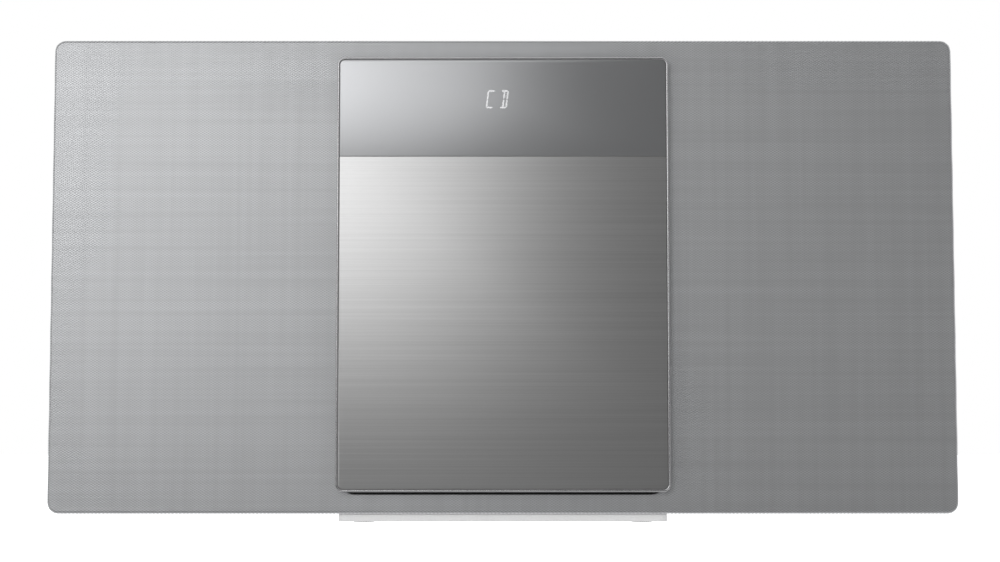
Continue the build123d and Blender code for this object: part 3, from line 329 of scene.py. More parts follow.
@dataclass(frozen=True)
class WovenGrille(Finish):
    """Fine grille weave: rows of bright strands that stand in a staggered lattice.

    Attributes:
        across: width of one lattice cell in metres.
        up: height of one lattice cell in metres.
        depth: height of the strands in metres.
        gap_and_valley_shade: colour factor in the weave's low points: the dark gaps between strands,
            together with painted shade in the valleys.
        metal: metallic share, for the strands' silver lustre.
    """

    across: float = 0.00175
    up: float = 0.00111
    depth: float = 0.00005
    gap_and_valley_shade: float = 0.78
    metal: float = 0.78

    def dress(self, bench: Bench) -> None:
        """The lattice height is cos(x) times cos(z), plus the same turned on the side walls."""
        x_wave = ((bench.axis("X") + bench.axis("Y")) * (TAU / self.across)).cosine()
        z_wave = (bench.axis("Z") * (TAU / self.up)).cosine()
        lattice = x_wave * z_wave * 0.5 + 0.5
        thread = bench.noise(bench.stretched((500.0, 500.0, 2200.0)), 2.0)
        rows = bench.noise(bench.stretched((6.0, 6.0, 330.0)), 2.0)
        columns = bench.noise(bench.stretched((330.0, 330.0, 7.0)), 2.0)
        streak = rows * 0.6 + columns * 0.4
        strand = lattice.step(0.12, 0.72)
        # Colour darker in the weave's low points and lighter on its crests: partly the dark gaps between
        # strands, partly painted shade in the valleys.
        low, high = shade(self.colour, self.gap_and_valley_shade), shade(self.colour, 1.12)
        colour = bench.blend(strand, low, high)
        tinted = bench.blend(streak.step(0.3, 0.7) * 0.5, colour, shade(self.colour, 0.8))
        height = lattice * 0.8 + thread * 0.2
        bench.surface(Base_Color=tinted, Metallic=self.metal,
                      Roughness=self.roughness + 0.06 - strand * 0.06, Normal=bench.bump(height, self.depth))


@dataclass(frozen=True)
class SmokedMirror(Finish):
    """Half-mirror acrylic: reflects like dark metal and lets lit characters through.

    Attributes:
        cover: how opaque the coating is, from 0 to 1.
    """

    cover: float = 0.8

    def dress(self, bench: Bench) -> None:
        """Even coating with faint ripple."""
        ripple = bench.noise(bench.coordinates(), 2.0, 30.0)
        bench.surface(Base_Color=bench.blend(ripple, shade(self.colour, 0.98), shade(self.colour, 1.02)),
                      Metallic=0.92, Roughness=self.roughness - 0.01 + ripple * 0.02,
                      Alpha=self.cover)


@dataclass(frozen=True)
class ClearLens(Finish):
    """Clear or tinted lens with a hard coat.

    Attributes:
        cover: how opaque it is, from 0 to 1.
    """

    cover: float = 0.4

    def dress(self, bench: Bench) -> None:
        """Gloss over a faintly mottled tint."""
        mottle = bench.noise(bench.coordinates(), 2.0, 90.0)
        bench.surface(Base_Color=bench.blend(mottle, shade(self.colour, 0.9), shade(self.colour, 1.1)),
                      Roughness=self.roughness, Alpha=self.cover, Coat_Weight=0.6)


@dataclass(frozen=True)
class RubberFinish(Finish):
    """Matt rubber with a dusty bloom."""

    def dress(self, bench: Bench) -> None:
        """Bloom in the colour and a soft grain."""
        bloom = bench.noise(bench.coordinates(), 5.0, 120.0)
        grain = bench.noise(bench.coordinates(), 2.0, 2600.0)
        bench.surface(Base_Color=bench.blend(bloom.step(0.45, 0.8), self.colour, shade(self.colour, 1.9)),
                      Roughness=self.roughness + bloom * 0.1, Normal=bench.bump(grain, 0.00003))


@dataclass(frozen=True)
class PressedPaper(Finish):
    """Coated paper pulp, as on a speaker cone."""

    def dress(self, bench: Bench) -> None:
        """Short fibres in colour and relief."""
        fibre = bench.noise(bench.stretched((700.0, 700.0, 2600.0)), 4.0)
        bench.surface(Base_Color=bench.blend(fibre, shade(self.colour, 0.7), shade(self.colour, 1.5)),
                      Roughness=self.roughness, Normal=bench.bump(fibre, 0.00008))


@dataclass(frozen=True)
class CircuitBoard(Finish):
    """Solder-masked board with copper traces showing through the mask."""

    def dress(self, bench: Bench) -> None:
        """Traces are the edges of square cells."""
        cells = bench.node("ShaderNodeTexVoronoi", {"distance": "MANHATTAN", "feature": "F1"},
                           {"Vector": bench.coordinates(), "Scale": 210.0}, output="Distance")
        trace = cells.step(0.30, 0.36)
        bench.surface(Base_Color=bench.blend(trace, self.colour, shade(self.colour, 1.7)),
                      Roughness=self.roughness - trace * 0.1, Coat_Weight=0.3,
                      Normal=bench.bump(trace, 0.00003))


@dataclass(frozen=True)
class LitSegment(Finish):
    """Glowing display segment.

    Attributes:
        glow: emission strength.
    """

    glow: float = 3.4

    def dress(self, bench: Bench) -> None:
        """Even glow with a slightly mottled phosphor."""
        mottle = bench.noise(bench.coordinates(), 2.0, 900.0)
        tint = bench.blend(mottle, shade(self.colour, 0.85), self.colour)
        bench.surface(Base_Color=(0.02, 0.02, 0.02), Emission_Color=tint, Emission_Strength=self.glow)


SILVER_PLASTIC = MouldedPlastic("silver_cabinet_plastic", (0.42, 0.425, 0.44), 0.42, metal=0.25)
BLACK_PLASTIC = MouldedPlastic("black_fascia_plastic", (0.040, 0.040, 0.042), 0.45)
CARRIER_PLASTIC = MouldedPlastic("black_carrier_plastic", (0.015, 0.015, 0.016), 0.6, grain=500.0,
                                 depth=0.00001)
DARK_PLASTIC = MouldedPlastic("dark_filled_plastic", (0.045, 0.045, 0.048), 0.55, grain=800.0)
STAND_PLASTIC = MouldedPlastic("pale_stand_plastic", (0.74, 0.74, 0.74), 0.38)
BUTTON_PLASTIC = MouldedPlastic("silver_button_plastic", (0.50, 0.505, 0.52), 0.30, metal=0.3)
MARK_INK = MouldedPlastic("dark_mark_ink", (0.03, 0.03, 0.035), 0.5)
ACETAL = MouldedPlastic("natural_acetal", (0.72, 0.70, 0.64), 0.35, grain=500.0)
GRILLE_WEAVE = WovenGrille("silver_grille_weave", (0.53, 0.537, 0.549), 0.38)
BRUSHED_PLATE = BrushedMetal("brushed_plate", (0.62, 0.62, 0.62), 0.37, contrast=0.08)
HEAT_SINK_METAL = BrushedMetal("drawn_aluminium", (0.48, 0.48, 0.49), 0.42)
BRIGHT_RIM = PlainMetal("bright_rim_metal", (0.62, 0.62, 0.63), 0.25)
POLISHED_STEEL = PlainMetal("polished_steel", (0.60, 0.60, 0.60), 0.14)
NICKEL = PlainMetal("nickel_plate", (0.52, 0.51, 0.48), 0.3)
SCREW_STEEL = PlainMetal("black_screw_steel", (0.06, 0.06, 0.065), 0.4)
COATED_STEEL = MouldedPlastic("black_coated_steel", (0.03, 0.03, 0.032), 0.45, metal=0.4)
BRASS = PlainMetal("brass", (0.62, 0.42, 0.14), 0.28)
FERRITE = MouldedPlastic("ferrite", (0.05, 0.05, 0.052), 0.6, grain=1800.0, metal=0.3)
WINDOW_MIRROR = SmokedMirror("smoked_window", (0.51, 0.516, 0.528), 0.295, cover=0.86)
WINDOW_BACK = ClearLens("clear_window_back", (0.05, 0.05, 0.052), 0.1, 0.06)
DISPLAY_FILTER = ClearLens("display_filter", (0.012, 0.012, 0.014), 0.12, 0.93)
LASER_LENS = ClearLens("laser_lens", (0.25, 0.30, 0.55), 0.05, 0.6)
RUBBER = RubberFinish("matt_rubber", (0.02, 0.02, 0.02), 0.75)
CONE_PAPER = PressedPaper("cone_paper", (0.03, 0.03, 0.033), 0.8)
BOARD_GREEN = CircuitBoard("board_green", (0.006, 0.05, 0.018), 0.4)
SEGMENT_GLOW = LitSegment("lit_segment", WHITE)

NODE_FINISHES: dict[Finish, tuple[str, ...]] = {
    SILVER_PLASTIC: ("rear_cabinet",),
    CARRIER_PLASTIC: ("door_back",),
    BLACK_PLASTIC: ("front_baffle", "inner_fascia", "mains_inlet", "aux_jack",
                    "headphone_jack", "remote_sensor", "passive_frames"),
    DARK_PLASTIC: ("grille_frame", "cd_chassis", "turntable_hub", "optical_pickup"),
    STAND_PLASTIC: ("stand",),
    RUBBER: ("stand_feet", "damper_bushes", "driver_surround_left", "driver_surround_right",
             "passive_surround_left", "passive_surround_right"),
    SCREW_STEEL: ("cabinet_screws",),
    POLISHED_STEEL: ("guide_rods", "sled_rods", "sled_lead_screw"),
    NICKEL: ("drive_motor", "spindle_motor", "sled_motor", "antenna_terminal", "usb_port"),
    COATED_STEEL: ("drive_bracket", "driver_baskets"),
    BOARD_GREEN: ("main_board", "power_board", "display_board", "button_board"),
    HEAT_SINK_METAL: ("heat_sink",),
    DISPLAY_FILTER: ("display_lens",),
    ACETAL: ("door_rack", "upper_carriage", "drive_gear"),
    BRASS: ("motor_pinion",),
    LASER_LENS: ("objective_lens",),
    CONE_PAPER: ("driver_cone_left", "driver_cone_right", "passive_cone_left", "passive_cone_right"),
    FERRITE: ("driver_magnets",),
    BUTTON_PLASTIC: tuple(f"{name}_button" for name in
                          ("power", "source", "open_close", "previous", "play_pause", "next",
                           "volume_down", "volume_up")),
}


# ------------------------------------------------------------------ mesh building
def put_mesh(name: str, points: np.ndarray, faces: list[tuple[int, ...]], finish: Finish,
             body: str) -> bpy.types.Object:
    """Make an object from points and faces, dress it and let it ride on a body.

    Args:
        name: the piece's name.
        points: vertex places, one row each, in metres.
        faces: vertex numbers of each face, turning anticlockwise seen from outside.
        finish: its finish.
        body: the CAD body it rides on.

    Returns:
        The new object.
    """
    mesh = bpy.data.meshes.new(name)
    mesh.from_pydata(points.tolist(), [], faces)
    mesh.update()
    mesh.materials.append(finish.make())
    made = bpy.data.objects.new(name, mesh)
    bpy.context.scene.collection.objects.link(made)
    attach(made, body)
    LOG.info("%s: %d faces on %s", name, len(faces), body)
    return made


def ring_faces(rows: int, columns: int) -> list[tuple[int, ...]]:
    """Quads between rows of points, each row a closed ring.

    Args:
        rows: number of rows of points.
        columns: number of points in each row.

    Returns:
        Four vertex numbers for each quad.
    """
    here = np.arange(columns)
    beside = (here + 1) % columns
    starts = (np.arange(rows - 1) * columns)[:, None]
    quads = np.stack([starts + here, starts + beside, starts + columns + beside,
                      starts + columns + here], axis=-1)
    return [tuple(quad) for quad in quads.reshape(-1, 4).tolist()]


@dataclass(frozen=True)
class RoundedOutline:
    """A rounded rectangle in X and Z, walked clockwise seen from the front.

    Attributes:
        x: low and high x.
        z: low and high z.
        radii: corner radii in the order lower left, upper left, upper right, lower right.
        across: number of steps along a horizontal side.
        up: number of steps along a vertical side.
        bend: number of steps round a corner.
    """

    x: Span
    z: Span
    radii: tuple[float, float, float, float]
    across: int = 8
    up: int = 8
    bend: int = 6

    def walk(self) -> tuple[np.ndarray, np.ndarray]:
        """Points and outward normals: each corner is an arc, each side runs between two arcs.

        Returns:
            Points and unit normals, one row of x and z for each step.
        """
        corners = ((self.x[0], self.z[0], 1, 1), (self.x[0], self.z[1], 1, -1),
                   (self.x[1], self.z[1], -1, -1), (self.x[1], self.z[0], -1, 1))
        starts = (1.5 * math.pi, math.pi, 0.5 * math.pi, 0.0)
        arcs, normals = [], []
        for (x, z, right, above), start, radius in zip(corners, starts, self.radii):
            turn = start - np.linspace(0, math.pi / 2, self.bend + 1)
            outward = np.column_stack([np.cos(turn), np.sin(turn)])
            centre = np.array([x + right * radius, z + above * radius])
            arcs.append(centre + radius * outward)
            normals.append(outward)
        points, directions = [], []
        for index in range(4):
            steps = self.up if index % 2 == 0 else self.across
            share = np.linspace(0, 1, steps + 1)[1:-1, None]
            after = arcs[(index + 1) % 4][0]
            points += [arcs[index], arcs[index][-1] * (1 - share) + after * share]
            directions += [normals[index], np.repeat(normals[index][-1:], len(share), axis=0)]
        return np.concatenate(points), np.concatenate(directions)


def carried(outline: RoundedOutline, profile: list[tuple[float, float]]) -> np.ndarray:
    """A profile carried round an outline.

    Each profile point (inset, y) gives one row: the outline moved inwards by inset, at y.

    Args:
        outline: the rounded rectangle.
        profile: insets and y places.

    Returns:
        Points, as rows by steps by three.
    """
    path, outward = outline.walk()
    inset = np.array([point[0] for point in profile])[:, None, None]
    depth = np.array([point[1] for point in profile])[:, None]
    flat = path[None] - outward[None] * inset
    y = np.broadcast_to(depth, flat.shape[:2])
    return np.stack([flat[..., 0], y, flat[..., 1]], axis=-1)


def quarter(radius: float, y_front: float, steps: int = 4) -> list[tuple[float, float]]:
    """A rounded front edge: (inset, y) from the side wall onto the front face.

    Args:
        radius: the edge's radius.
        y_front: y of the front face.
        steps: number of steps round the edge.

    Returns:
        Profile points, the last of them on the front face.
    """
    turns = np.linspace(0, math.pi / 2, steps + 1)
    return [(radius * (1 - math.cos(t)), y_front + radius * (1 - math.sin(t))) for t in turns]


def closed_plate(outline: RoundedOutline, profile: list[tuple[float, float]]
                 ) -> tuple[np.ndarray, list[tuple[int, ...]]]:
    """A plate whose side is a carried profile, with its front and back closed by one face each.

    Args:
        outline: the plate's rounded rectangle.
        profile: (inset, y) from the back edge round to the front face.

    Returns:
        Points and faces.
    """
    rows = carried(outline, profile)
    count, steps = rows.shape[:2]
    faces = ring_faces(count, steps)
    faces.append(tuple(range((count - 1) * steps, count * steps)))
    faces.append(tuple(reversed(range(steps))))
    return rows.reshape(-1, 3), faces


def face_outwards(made: bpy.types.Object) -> None:
    """Turn a closed mesh's faces outwards, after merging doubled points.

    Args:
        made: the object whose mesh is mended.
    """
    work = bmesh.new()
    work.from_mesh(made.data)
    bmesh.ops.remove_doubles(work, verts=work.verts, dist=MERGE)
    bmesh.ops.recalc_face_normals(work, faces=work.faces)
    work.to_mesh(made.data)
    work.free()
    made.data.update()


def smooth_by_angle(made: bpy.types.Object, degrees: float = 35.0) -> None:
    """Shade smooth, with edges sharper than an angle kept crisp."""
    made.data.shade_smooth()
    made.data.set_sharp_from_angle(angle=math.radians(degrees))


# ------------------------------------------------------------------ sub-assemblies
@dataclass
class GrilleSheet:
    """The grille's woven sheet, stretched over its frame and round the frame's edges.

    Attributes:
        thickness: the sheet's thickness.
        edge_radius: radius of the bend at the outer edge.
        cell: width and height of one lattice cell of the weave.
        ripple: how far the weave's rows stand out at the edge.
        opening: half width, bottom, top and corner radius of the door opening.
        rows: shares of the way from the bent edge to the opening that carry a row of points.
        corner: the outer corner radius.
    """

    thickness: float = 0.35 * MM
    edge_radius: float = 0.9 * MM
    cell: Span = (1.75 * MM, 1.11 * MM)
    ripple: float = 0.16 * MM
    opening: tuple[float, float, float, float] = (74.5 * MM, 12.5 * MM, 212.0 * MM, 7.0 * MM)
    rows: tuple[float, ...] = (0.003, 0.02, 0.2, 0.5, 0.8, 0.97, 0.992, 0.998, 1.0)
    corner: float = 4.8 * MM

    def outlines(self) -> tuple[RoundedOutline, RoundedOutline]:
        """The sheet's outer outline and the door opening, with the same number of steps."""
        low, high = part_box("grille_cloth")
        across = int((high.x - low.x) / self.cell[0] * 2)
        up = int((high.z - low.z) / self.cell[1])
        outer = RoundedOutline((low.x, high.x), (low.z, high.z), (self.corner,) * 4, across, up, 8)
        half, bottom, top, radius = self.opening
        inner = RoundedOutline((-half, half), (bottom, top), (radius,) * 4, across, up, 8)
        return outer, inner

    def edge_rows(self, outer: RoundedOutline) -> np.ndarray:
        """The bent edge, with the weave's rows standing out as a shallow ripple.

        Args:
            outer: the sheet's outer outline.

        Returns:
            Points, as rows by steps by three.
        """
        low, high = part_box("grille_cloth")
        hem = [(0.0, high.y), (0.0, (low.y + high.y) / 2)]
        edge = carried(outer, hem + quarter(self.edge_radius, low.y, 5))
        path, outward = outer.walk()
        along = np.where(np.abs(outward[:, 1]) > np.abs(outward[:, 0]),
                         path[:, 0] / self.cell[0], path[:, 1] / self.cell[1])
        wave = -self.ripple * (0.5 - 0.5 * np.cos(TAU * along))
        way = np.linspace(0, 1, edge.shape[0])[:, None]
        fade = (0.6 + 0.4 * way) * (1 - way) ** 0.3
        edge[..., 0] += fade * wave * outward[:, 0]
        edge[..., 2] += fade * wave * outward[:, 1]
        return edge

    def front_rows(self, rim: np.ndarray, inner: RoundedOutline) -> np.ndarray:
        """The front face, spread from the bent edge to the opening and turned in at its lip.

        Args:
            rim: the last row of the bent edge.
            inner: the opening's outline.

        Returns:
            Points, as rows by steps by three.
        """
        hole, _ = inner.walk()
        mouth = np.column_stack([hole[:, 0], rim[:, 1], hole[:, 1]])
        share = np.array(self.rows)[:, None, None]
        lip = mouth.copy()
        lip[:, 1] += self.thickness * 0.5
        return np.concatenate([rim[None] * (1 - share) + mouth[None] * share, lip[None]])

    def build(self) -> None:
        """Make the sheet from its edge and front, in place of its CAD node."""
        outer, inner = self.outlines()
        edge = self.edge_rows(outer)
        rows = np.concatenate([edge, self.front_rows(edge[-1], inner)])
        faces = ring_faces(*rows.shape[:2])
        sheet = put_mesh("grille_weave_sheet", rows.reshape(-1, 3), faces, GRILLE_WEAVE, "cabinet")
        sheet.data.shade_smooth()
        wall = sheet.modifiers.new("wall", "SOLIDIFY")
        wall.thickness = self.thickness
        wall.offset = -1.0
        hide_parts("grille_cloth")


@dataclass
class SlidingDoor:
    """The door's visible faces: a bead-edged rim, a smoked window and a brushed plate.

    Attributes:
        rim: width of the rim.
        groove: shadow gap between the rim and the faces.
        bevel: radius of the faces' edges.
        seam: half the gap between the window and the plate.
        corner: the rim's outer corner radius.
        seam_corner: radius of the faces' corners at the seam.
        backing: clearance behind the faces, where the adhesive is.
        side_steps: number of steps along each side of a face.
    """

    rim: float = 1.2 * MM
    groove: float = 0.12 * MM
    bevel: float = 0.12 * MM
    seam: float = 0.06 * MM
    corner: float = 3.5 * MM
    seam_corner: float = 0.2 * MM
    backing: float = 0.15 * MM
    side_steps: int = 24

    def face(self, name: str, node: str, finish: Finish, slot: str, rounded_top: bool) -> None:
        """One of the two faces, bevelled all round, in place of its CAD node.

        Args:
            name: the piece's name.
            node: the CAD node it stands for.
            finish: its finish.
            slot: its material slot; not used.
            rounded_top: True for the window, whose upper corners are rounded.
        """
        low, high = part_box(node)
        gap = self.groove
        near, far = self.corner - self.rim - gap, self.seam_corner
        radii = (far, near, near, far) if rounded_top else (near, far, far, near)
        steps = self.side_steps
        middle_z = (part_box("door_window")[0].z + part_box("door_panel")[1].z) / 2
        z = (middle_z + self.seam, high.z - gap) if rounded_top else (low.z + gap, middle_z - self.seam)
        outline = RoundedOutline((low.x + gap, high.x - gap), z, radii, steps, steps, 8)
        back_y = high.y - self.backing
        points, faces = closed_plate(outline, [(0.0, back_y)] + quarter(self.bevel, low.y))
        made = put_mesh(name, points, faces, finish, "door")
        face_outwards(made)
        smooth_by_angle(made)
        if rounded_top:
            made.data.materials.append(WINDOW_BACK.make())
            for polygon in made.data.polygons:
                polygon.material_index = int(polygon.normal.y > 0.5)
        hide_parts(node)

    def rim_band(self) -> None:
        """The rim: a ring whose front is a half-round bead, in place of its CAD node."""
        low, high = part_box("door_rim")
        outline = RoundedOutline((low.x, high.x), (low.z, high.z), (self.corner,) * 4, 40, 40, 10)
        bead = quarter(self.rim / 2, low.y, 6)
        inner_bead = [(self.rim - inset, y) for inset, y in reversed(bead[:-1])]
        profile = [(0.0, high.y)] + bead + inner_bead + [(self.rim, high.y)]
        rows = carried(outline, profile)
        count, steps = rows.shape[:2]
        faces = ring_faces(count, steps)
        last = (count - 1) * steps
        faces += [(last + i, last + (i + 1) % steps, (i + 1) % steps, i) for i in range(steps)]
        made = put_mesh("door_rim_band", rows.reshape(-1, 3), faces, BRIGHT_RIM, "door")
        face_outwards(made)
        smooth_by_angle(made)
        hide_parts("door_rim")

    def build(self) -> None:
        """All three visible door pieces."""
        self.face("door_window_pane", "door_window", WINDOW_MIRROR, "smoked_mirror", True)
        self.face("door_brushed_plate", "door_panel", BRUSHED_PLATE, "brushed_panel", False)
        self.rim_band()


class Segment(Enum):
    """Bars of a fourteen-segment character, as end points in its unit cell."""

    TOP = ((0.02, 1.0), (0.98, 1.0))
    BOTTOM = ((0.02, 0.0), (0.98, 0.0))
    LEFT_HIGH = ((0.0, 0.50), (0.0, 0.99))
    LEFT_LOW = ((0.0, 0.01), (0.0, 0.50))
    RIGHT_HIGH = ((1.0, 0.50), (1.0, 0.99))
    RIGHT_LOW = ((1.0, 0.01), (1.0, 0.50))
    MIDDLE_HIGH = ((0.5, 0.52), (0.5, 0.98))
    MIDDLE_LOW = ((0.5, 0.02), (0.5, 0.48))


DISC_LETTERS: tuple[tuple[Segment, ...], ...] = (
    (Segment.TOP, Segment.BOTTOM, Segment.LEFT_HIGH, Segment.LEFT_LOW),
    (Segment.TOP, Segment.BOTTOM, Segment.RIGHT_HIGH, Segment.RIGHT_LOW, Segment.MIDDLE_HIGH,
     Segment.MIDDLE_LOW),
)


@dataclass
class Display:
    """Lit characters that say which source is playing, on the display module.

    Attributes:
        size: width and height of a character between its bars' middles.
        bar: width of a bar.
        pitch: distance from one character to the next.
        centre_z: middle height.
        first_x: middle of the first character.
        slant: sideways lean for each unit of height.
        rise: how far the characters' faces stand in front of the module.
    """

    size: Span = (3.0 * MM, 7.8 * MM)
    bar: float = 0.72 * MM
    pitch: float = 6.05 * MM
    centre_z: float = 195.0 * MM
    first_x: float = -5.6 * MM
    slant: float = 0.12
    rise: float = 0.25 * MM

    def bar_mesh(self, segment: Segment, middle_x: float, y: Span) -> tuple[np.ndarray, list]:
        """One bar: a pointed hexagon round the line between its ends, leaned by the slant.

        Args:
            segment: which bar.
            middle_x: the character's middle.
            y: front and back of the bar.

        Returns:
            Points and faces of the bar.
        """
        ends = np.array(segment.value)
        ends = (ends - 0.5) * np.array(self.size)
        along = (ends[1] - ends[0]) / np.linalg.norm(ends[1] - ends[0])
        side = np.array([-along[1], along[0]]) * self.bar / 2
        tip = along * self.bar / 2
        ring = np.array([ends[0], ends[0] + tip + side, ends[1] - tip + side, ends[1],
                         ends[1] - tip - side, ends[0] + tip - side])
        ring[:, 0] += middle_x + ring[:, 1] * self.slant
        ring[:, 1] += self.centre_z
        front = np.column_stack([ring[:, 0], np.full(6, y[0]), ring[:, 1]])
        back = np.column_stack([ring[:, 0], np.full(6, y[1]), ring[:, 1]])
        faces = [tuple(range(6)), tuple(reversed(range(6, 12)))]
        faces += [(i, i + 6, (i + 1) % 6 + 6, (i + 1) % 6) for i in range(6)]
        return np.concatenate([front, back]), faces

    def build(self) -> None:
        """All bars of both characters, as one piece on the display module's face."""
        lens_low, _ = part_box("display_lens")
        y = (lens_low.y - self.rise, lens_low.y - SINK)
        points, faces = [], []
        for index, letter in enumerate(DISC_LETTERS):
            for segment in letter:
                bar_points, bar_faces = self.bar_mesh(segment, self.first_x + index * self.pitch, y)
                start = sum(len(block) for block in points)
                points.append(bar_points)
                faces += [tuple(start + v for v in face) for face in bar_faces]
        made = put_mesh("source_characters", np.concatenate(points), faces, SEGMENT_GLOW, "cabinet")
        face_outwards(made)


@dataclass
class ButtonMarks:
    """Raised marks on the buttons: plain geometric signs for each function.

    Attributes:
        reach: half height of a sign.
        rise: how far a sign stands out of its button.
        line: width of a drawn line.
    """

    reach: float = 1.45 * MM
    rise: float = 0.12 * MM
    line: float = 0.42 * MM

    def triangle(self, middle: float, right: bool = True) -> np.ndarray:
        """A triangle that points right or left, about a middle, in units of the reach."""
        way = 1.0 if right else -1.0
        return np.array([(middle - 0.5 * way, -0.8), (middle + 0.6 * way, 0.0),
                         (middle - 0.5 * way, 0.8)])

    def bar(self, x: Span, y: Span) -> np.ndarray:
        """A rectangle, in units of the reach."""
        return np.array([(x[0], y[0]), (x[1], y[0]), (x[1], y[1]), (x[0], y[1])])

    def ring(self, start: float, end: float, steps: int = 28) -> np.ndarray:
        """Part of a ring: out along one arc and back along another, in units of the reach."""
        turns = np.radians(np.linspace(start, end, steps))
        width = self.line / self.reach
        outer = np.column_stack([np.cos(turns), np.sin(turns)])
        return np.concatenate([outer, outer[::-1] * (1 - width)])

    def shapes(self) -> dict[str, list[np.ndarray]]:
        """The outlines of each button's sign.

        Returns:
            Outlines in units of the reach, for each button's name.
        """
        w = self.line / self.reach / 2
        return {
            "power": [self.ring(125, 415), self.bar((-w, w), (0.15, 1.1))],
            "source": [self.bar((-1.0, -0.1), (-w, w)), self.triangle(0.25),
                       self.bar((0.95, 0.95 + 2 * w), (-0.9, 0.9))],
            "open_close": [np.array([(-1.0, -0.25), (1.0, -0.25), (0.0, 0.9)]),
                           self.bar((-1.0, 1.0), (-0.85, -0.85 + 2 * w))],
            "previous": [self.triangle(0.55, False), self.triangle(-0.45, False),
                         self.bar((-1.25, -1.25 + 2 * w), (-0.8, 0.8))],
            "play_pause": [self.triangle(-0.75), self.bar((0.25, 0.25 + 2 * w), (-0.8, 0.8)),
                           self.bar((0.95, 0.95 + 2 * w), (-0.8, 0.8))],
            "next": [self.triangle(-0.55), self.triangle(0.45),
                     self.bar((1.25 - 2 * w, 1.25), (-0.8, 0.8))],
            "volume_down": [self.bar((-0.9, 0.9), (-w, w))],
            "volume_up": [self.bar((-0.9, 0.9), (-w, w)), self.bar((-w, w), (w, 0.9)),
                          self.bar((-w, w), (-0.9, -w))],
        }

    def build(self) -> None:
        """One piece of signs on each button."""
        for name, outlines in self.shapes().items():
            low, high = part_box(f"{name}_button")
            middle = (low + high) / 2
            points, faces = [], []
            for outline in outlines:
                count = len(outline)
                start = sum(len(block) for block in points)
                flat = outline * self.reach + np.array([middle.x, middle.y])
                base = np.column_stack([flat, np.full(count, high.z - SINK)])
                top = np.column_stack([flat, np.full(count, high.z + self.rise)])
                points += [base, top]
                faces.append(tuple(start + count + i for i in range(count)))
                faces.append(tuple(start + i for i in reversed(range(count))))
                faces += [(start + i, start + (i + 1) % count, start + count + (i + 1) % count,
                           start + count + i) for i in range(count)]
            made = put_mesh(f"{name}_sign", np.concatenate(points), faces, MARK_INK,
                            f"{name}_button")
            face_outwards(made)


class CadDressing:
    """Finishes for the CAD nodes that show as they are."""

    def build(self) -> None:
        """Give every listed node its finish."""
        for finish, names in NODE_FINISHES.items():
            for name in names:
                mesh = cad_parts[name].data
                mesh.materials.clear()
                mesh.materials.append(finish.make())
            LOG.info("%s: %d nodes", finish.name, len(names))


# ------------------------------------------------------------------ studio
@dataclass
class SoftDisc:
    """A round studio light that faces +Y.

    Attributes:
        name: its name.
        middle: its middle.
        radius: its radius.
        radiance: how bright its face is.
    """

    name: str
    middle: tuple[float, float, float]
    radius: float
    radiance: float

    def build(self) -> None:
        """Make the light; its power is its radiance times pi times its area."""
        data = bpy.data.lights.new(self.name, "AREA")
        data.shape = "DISK"
        data.size = 2 * self.radius
        data.energy = self.radiance * math.pi ** 2 * self.radius ** 2
        lamp = bpy.data.objects.new(self.name, data)
        lamp.location = self.middle
        lamp.rotation_euler = (math.pi / 2, 0.0, 0.0)
        bpy.context.scene.collection.objects.link(lamp)


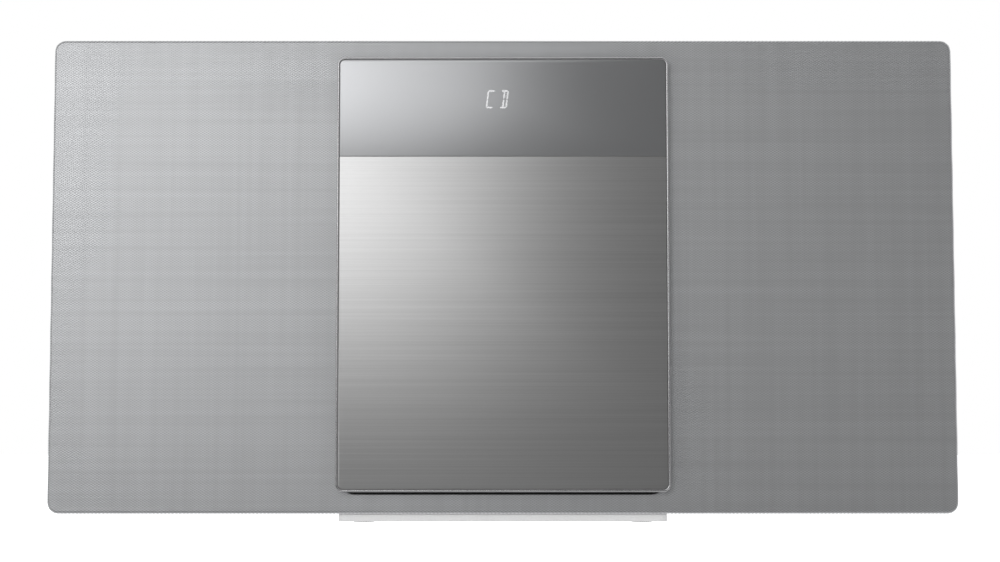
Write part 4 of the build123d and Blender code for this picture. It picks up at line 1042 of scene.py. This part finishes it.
@dataclass
class Studio:
    """Camera, pale floor, soft lights and a white surround.

    Attributes:
        eye: the camera's place.
        pitch: its upward tilt in radians.
        lens: its focal length in millimetres on a 36 mm sensor.
        floor_half: half the floor's side.
        ambient: brightness of the surround in front of the object.
        fade: the sideways Y over which the surround turns from dim to bright.
        lights: the soft lights in front.
    """

    eye: tuple[float, float, float] = (-1.32 * MM, -974.4 * MM, 35.4 * MM)
    pitch: float = 0.0802
    lens: float = 73.33
    floor_half: float = 6.0
    ambient: float = 0.155
    fade: Span = (-0.65, 0.05)
    lights: tuple[SoftDisc, ...] = (
        SoftDisc("key_disc", (-0.495, -1.5, 0.61), 0.53, 1.30),
        SoftDisc("hot_disc", (-0.85, -1.48, 0.55), 0.46, 1.25),
    )

    def camera(self) -> None:
        """The camera, low in front and tilted up a little."""
        data = bpy.data.cameras.new("camera")
        data.lens = self.lens
        data.sensor_width = 36.0
        data.clip_end = 50.0
        eye = bpy.data.objects.new("camera", data)
        eye.location = self.eye
        eye.rotation_euler = (math.pi / 2 + self.pitch, 0.0, 0.0)
        bpy.context.scene.collection.objects.link(eye)
        bpy.context.scene.camera = eye

    def floor(self) -> None:
        """A wide pale floor that glows enough to read as white paper."""
        half = self.floor_half
        mesh = bpy.data.meshes.new("studio_floor")
        mesh.from_pydata([(-half, -half, 0), (half, -half, 0), (half, half, 0), (-half, half, 0)], [],
                         [(0, 1, 2, 3)])
        bench = Bench("studio_paper")
        fibre = bench.noise(bench.coordinates(), 3.0, 400.0)
        bench.surface(Base_Color=bench.blend(fibre, (0.84, 0.84, 0.84), (0.88, 0.88, 0.88)),
                      Roughness=0.9, Emission_Color=WHITE, Emission_Strength=0.92)
        mesh.materials.append(bench.material)
        paper = bpy.data.objects.new("studio_floor", mesh)
        bpy.context.scene.collection.objects.link(paper)
        paper.visible_glossy = False

    def surround(self) -> None:
        """A white surround: dim in front of the object, bright round its sides and behind."""
        world = bpy.data.worlds.new("surround")
        world.use_nodes = True
        bench = NodeBench(world.node_tree)
        bench.tree.nodes.clear()
        way = bench.node("ShaderNodeTexCoord", output="Generated")
        ahead = bench.node("ShaderNodeSeparateXYZ", inputs={0: way}, output="Y")
        lit = bench.node("ShaderNodeMapRange", {"interpolation_type": "SMOOTHSTEP"},
                         {"Value": ahead, "From Min": self.fade[0], "From Max": self.fade[1],
                          "To Min": self.ambient, "To Max": 1.0})
        seen = bench.node("ShaderNodeLightPath", output="Is Camera Ray")
        strength = bench.node("ShaderNodeMix", inputs={0: seen, 2: lit, 3: 1.0})
        back = bench.node("ShaderNodeBackground", inputs={"Color": WHITE, "Strength": strength})
        bench.node("ShaderNodeOutputWorld", inputs={"Surface": back}, output=None)
        bpy.context.scene.world = world

    def build(self) -> None:
        """Set the whole studio up."""
        self.camera()
        self.floor()
        self.surround()
        for light in self.lights:
            light.build()
        bpy.context.scene.view_settings.view_transform = "Standard"


def main() -> None:
    """Build every sub-assembly in order."""
    logging.basicConfig(level=logging.INFO, format="%(name)s: %(message)s")
    Studio().build()
    CadDressing().build()
    GrilleSheet().build()
    SlidingDoor().build()
    Display().build()
    ButtonMarks().build()


if __name__ == "__main__":
    main()
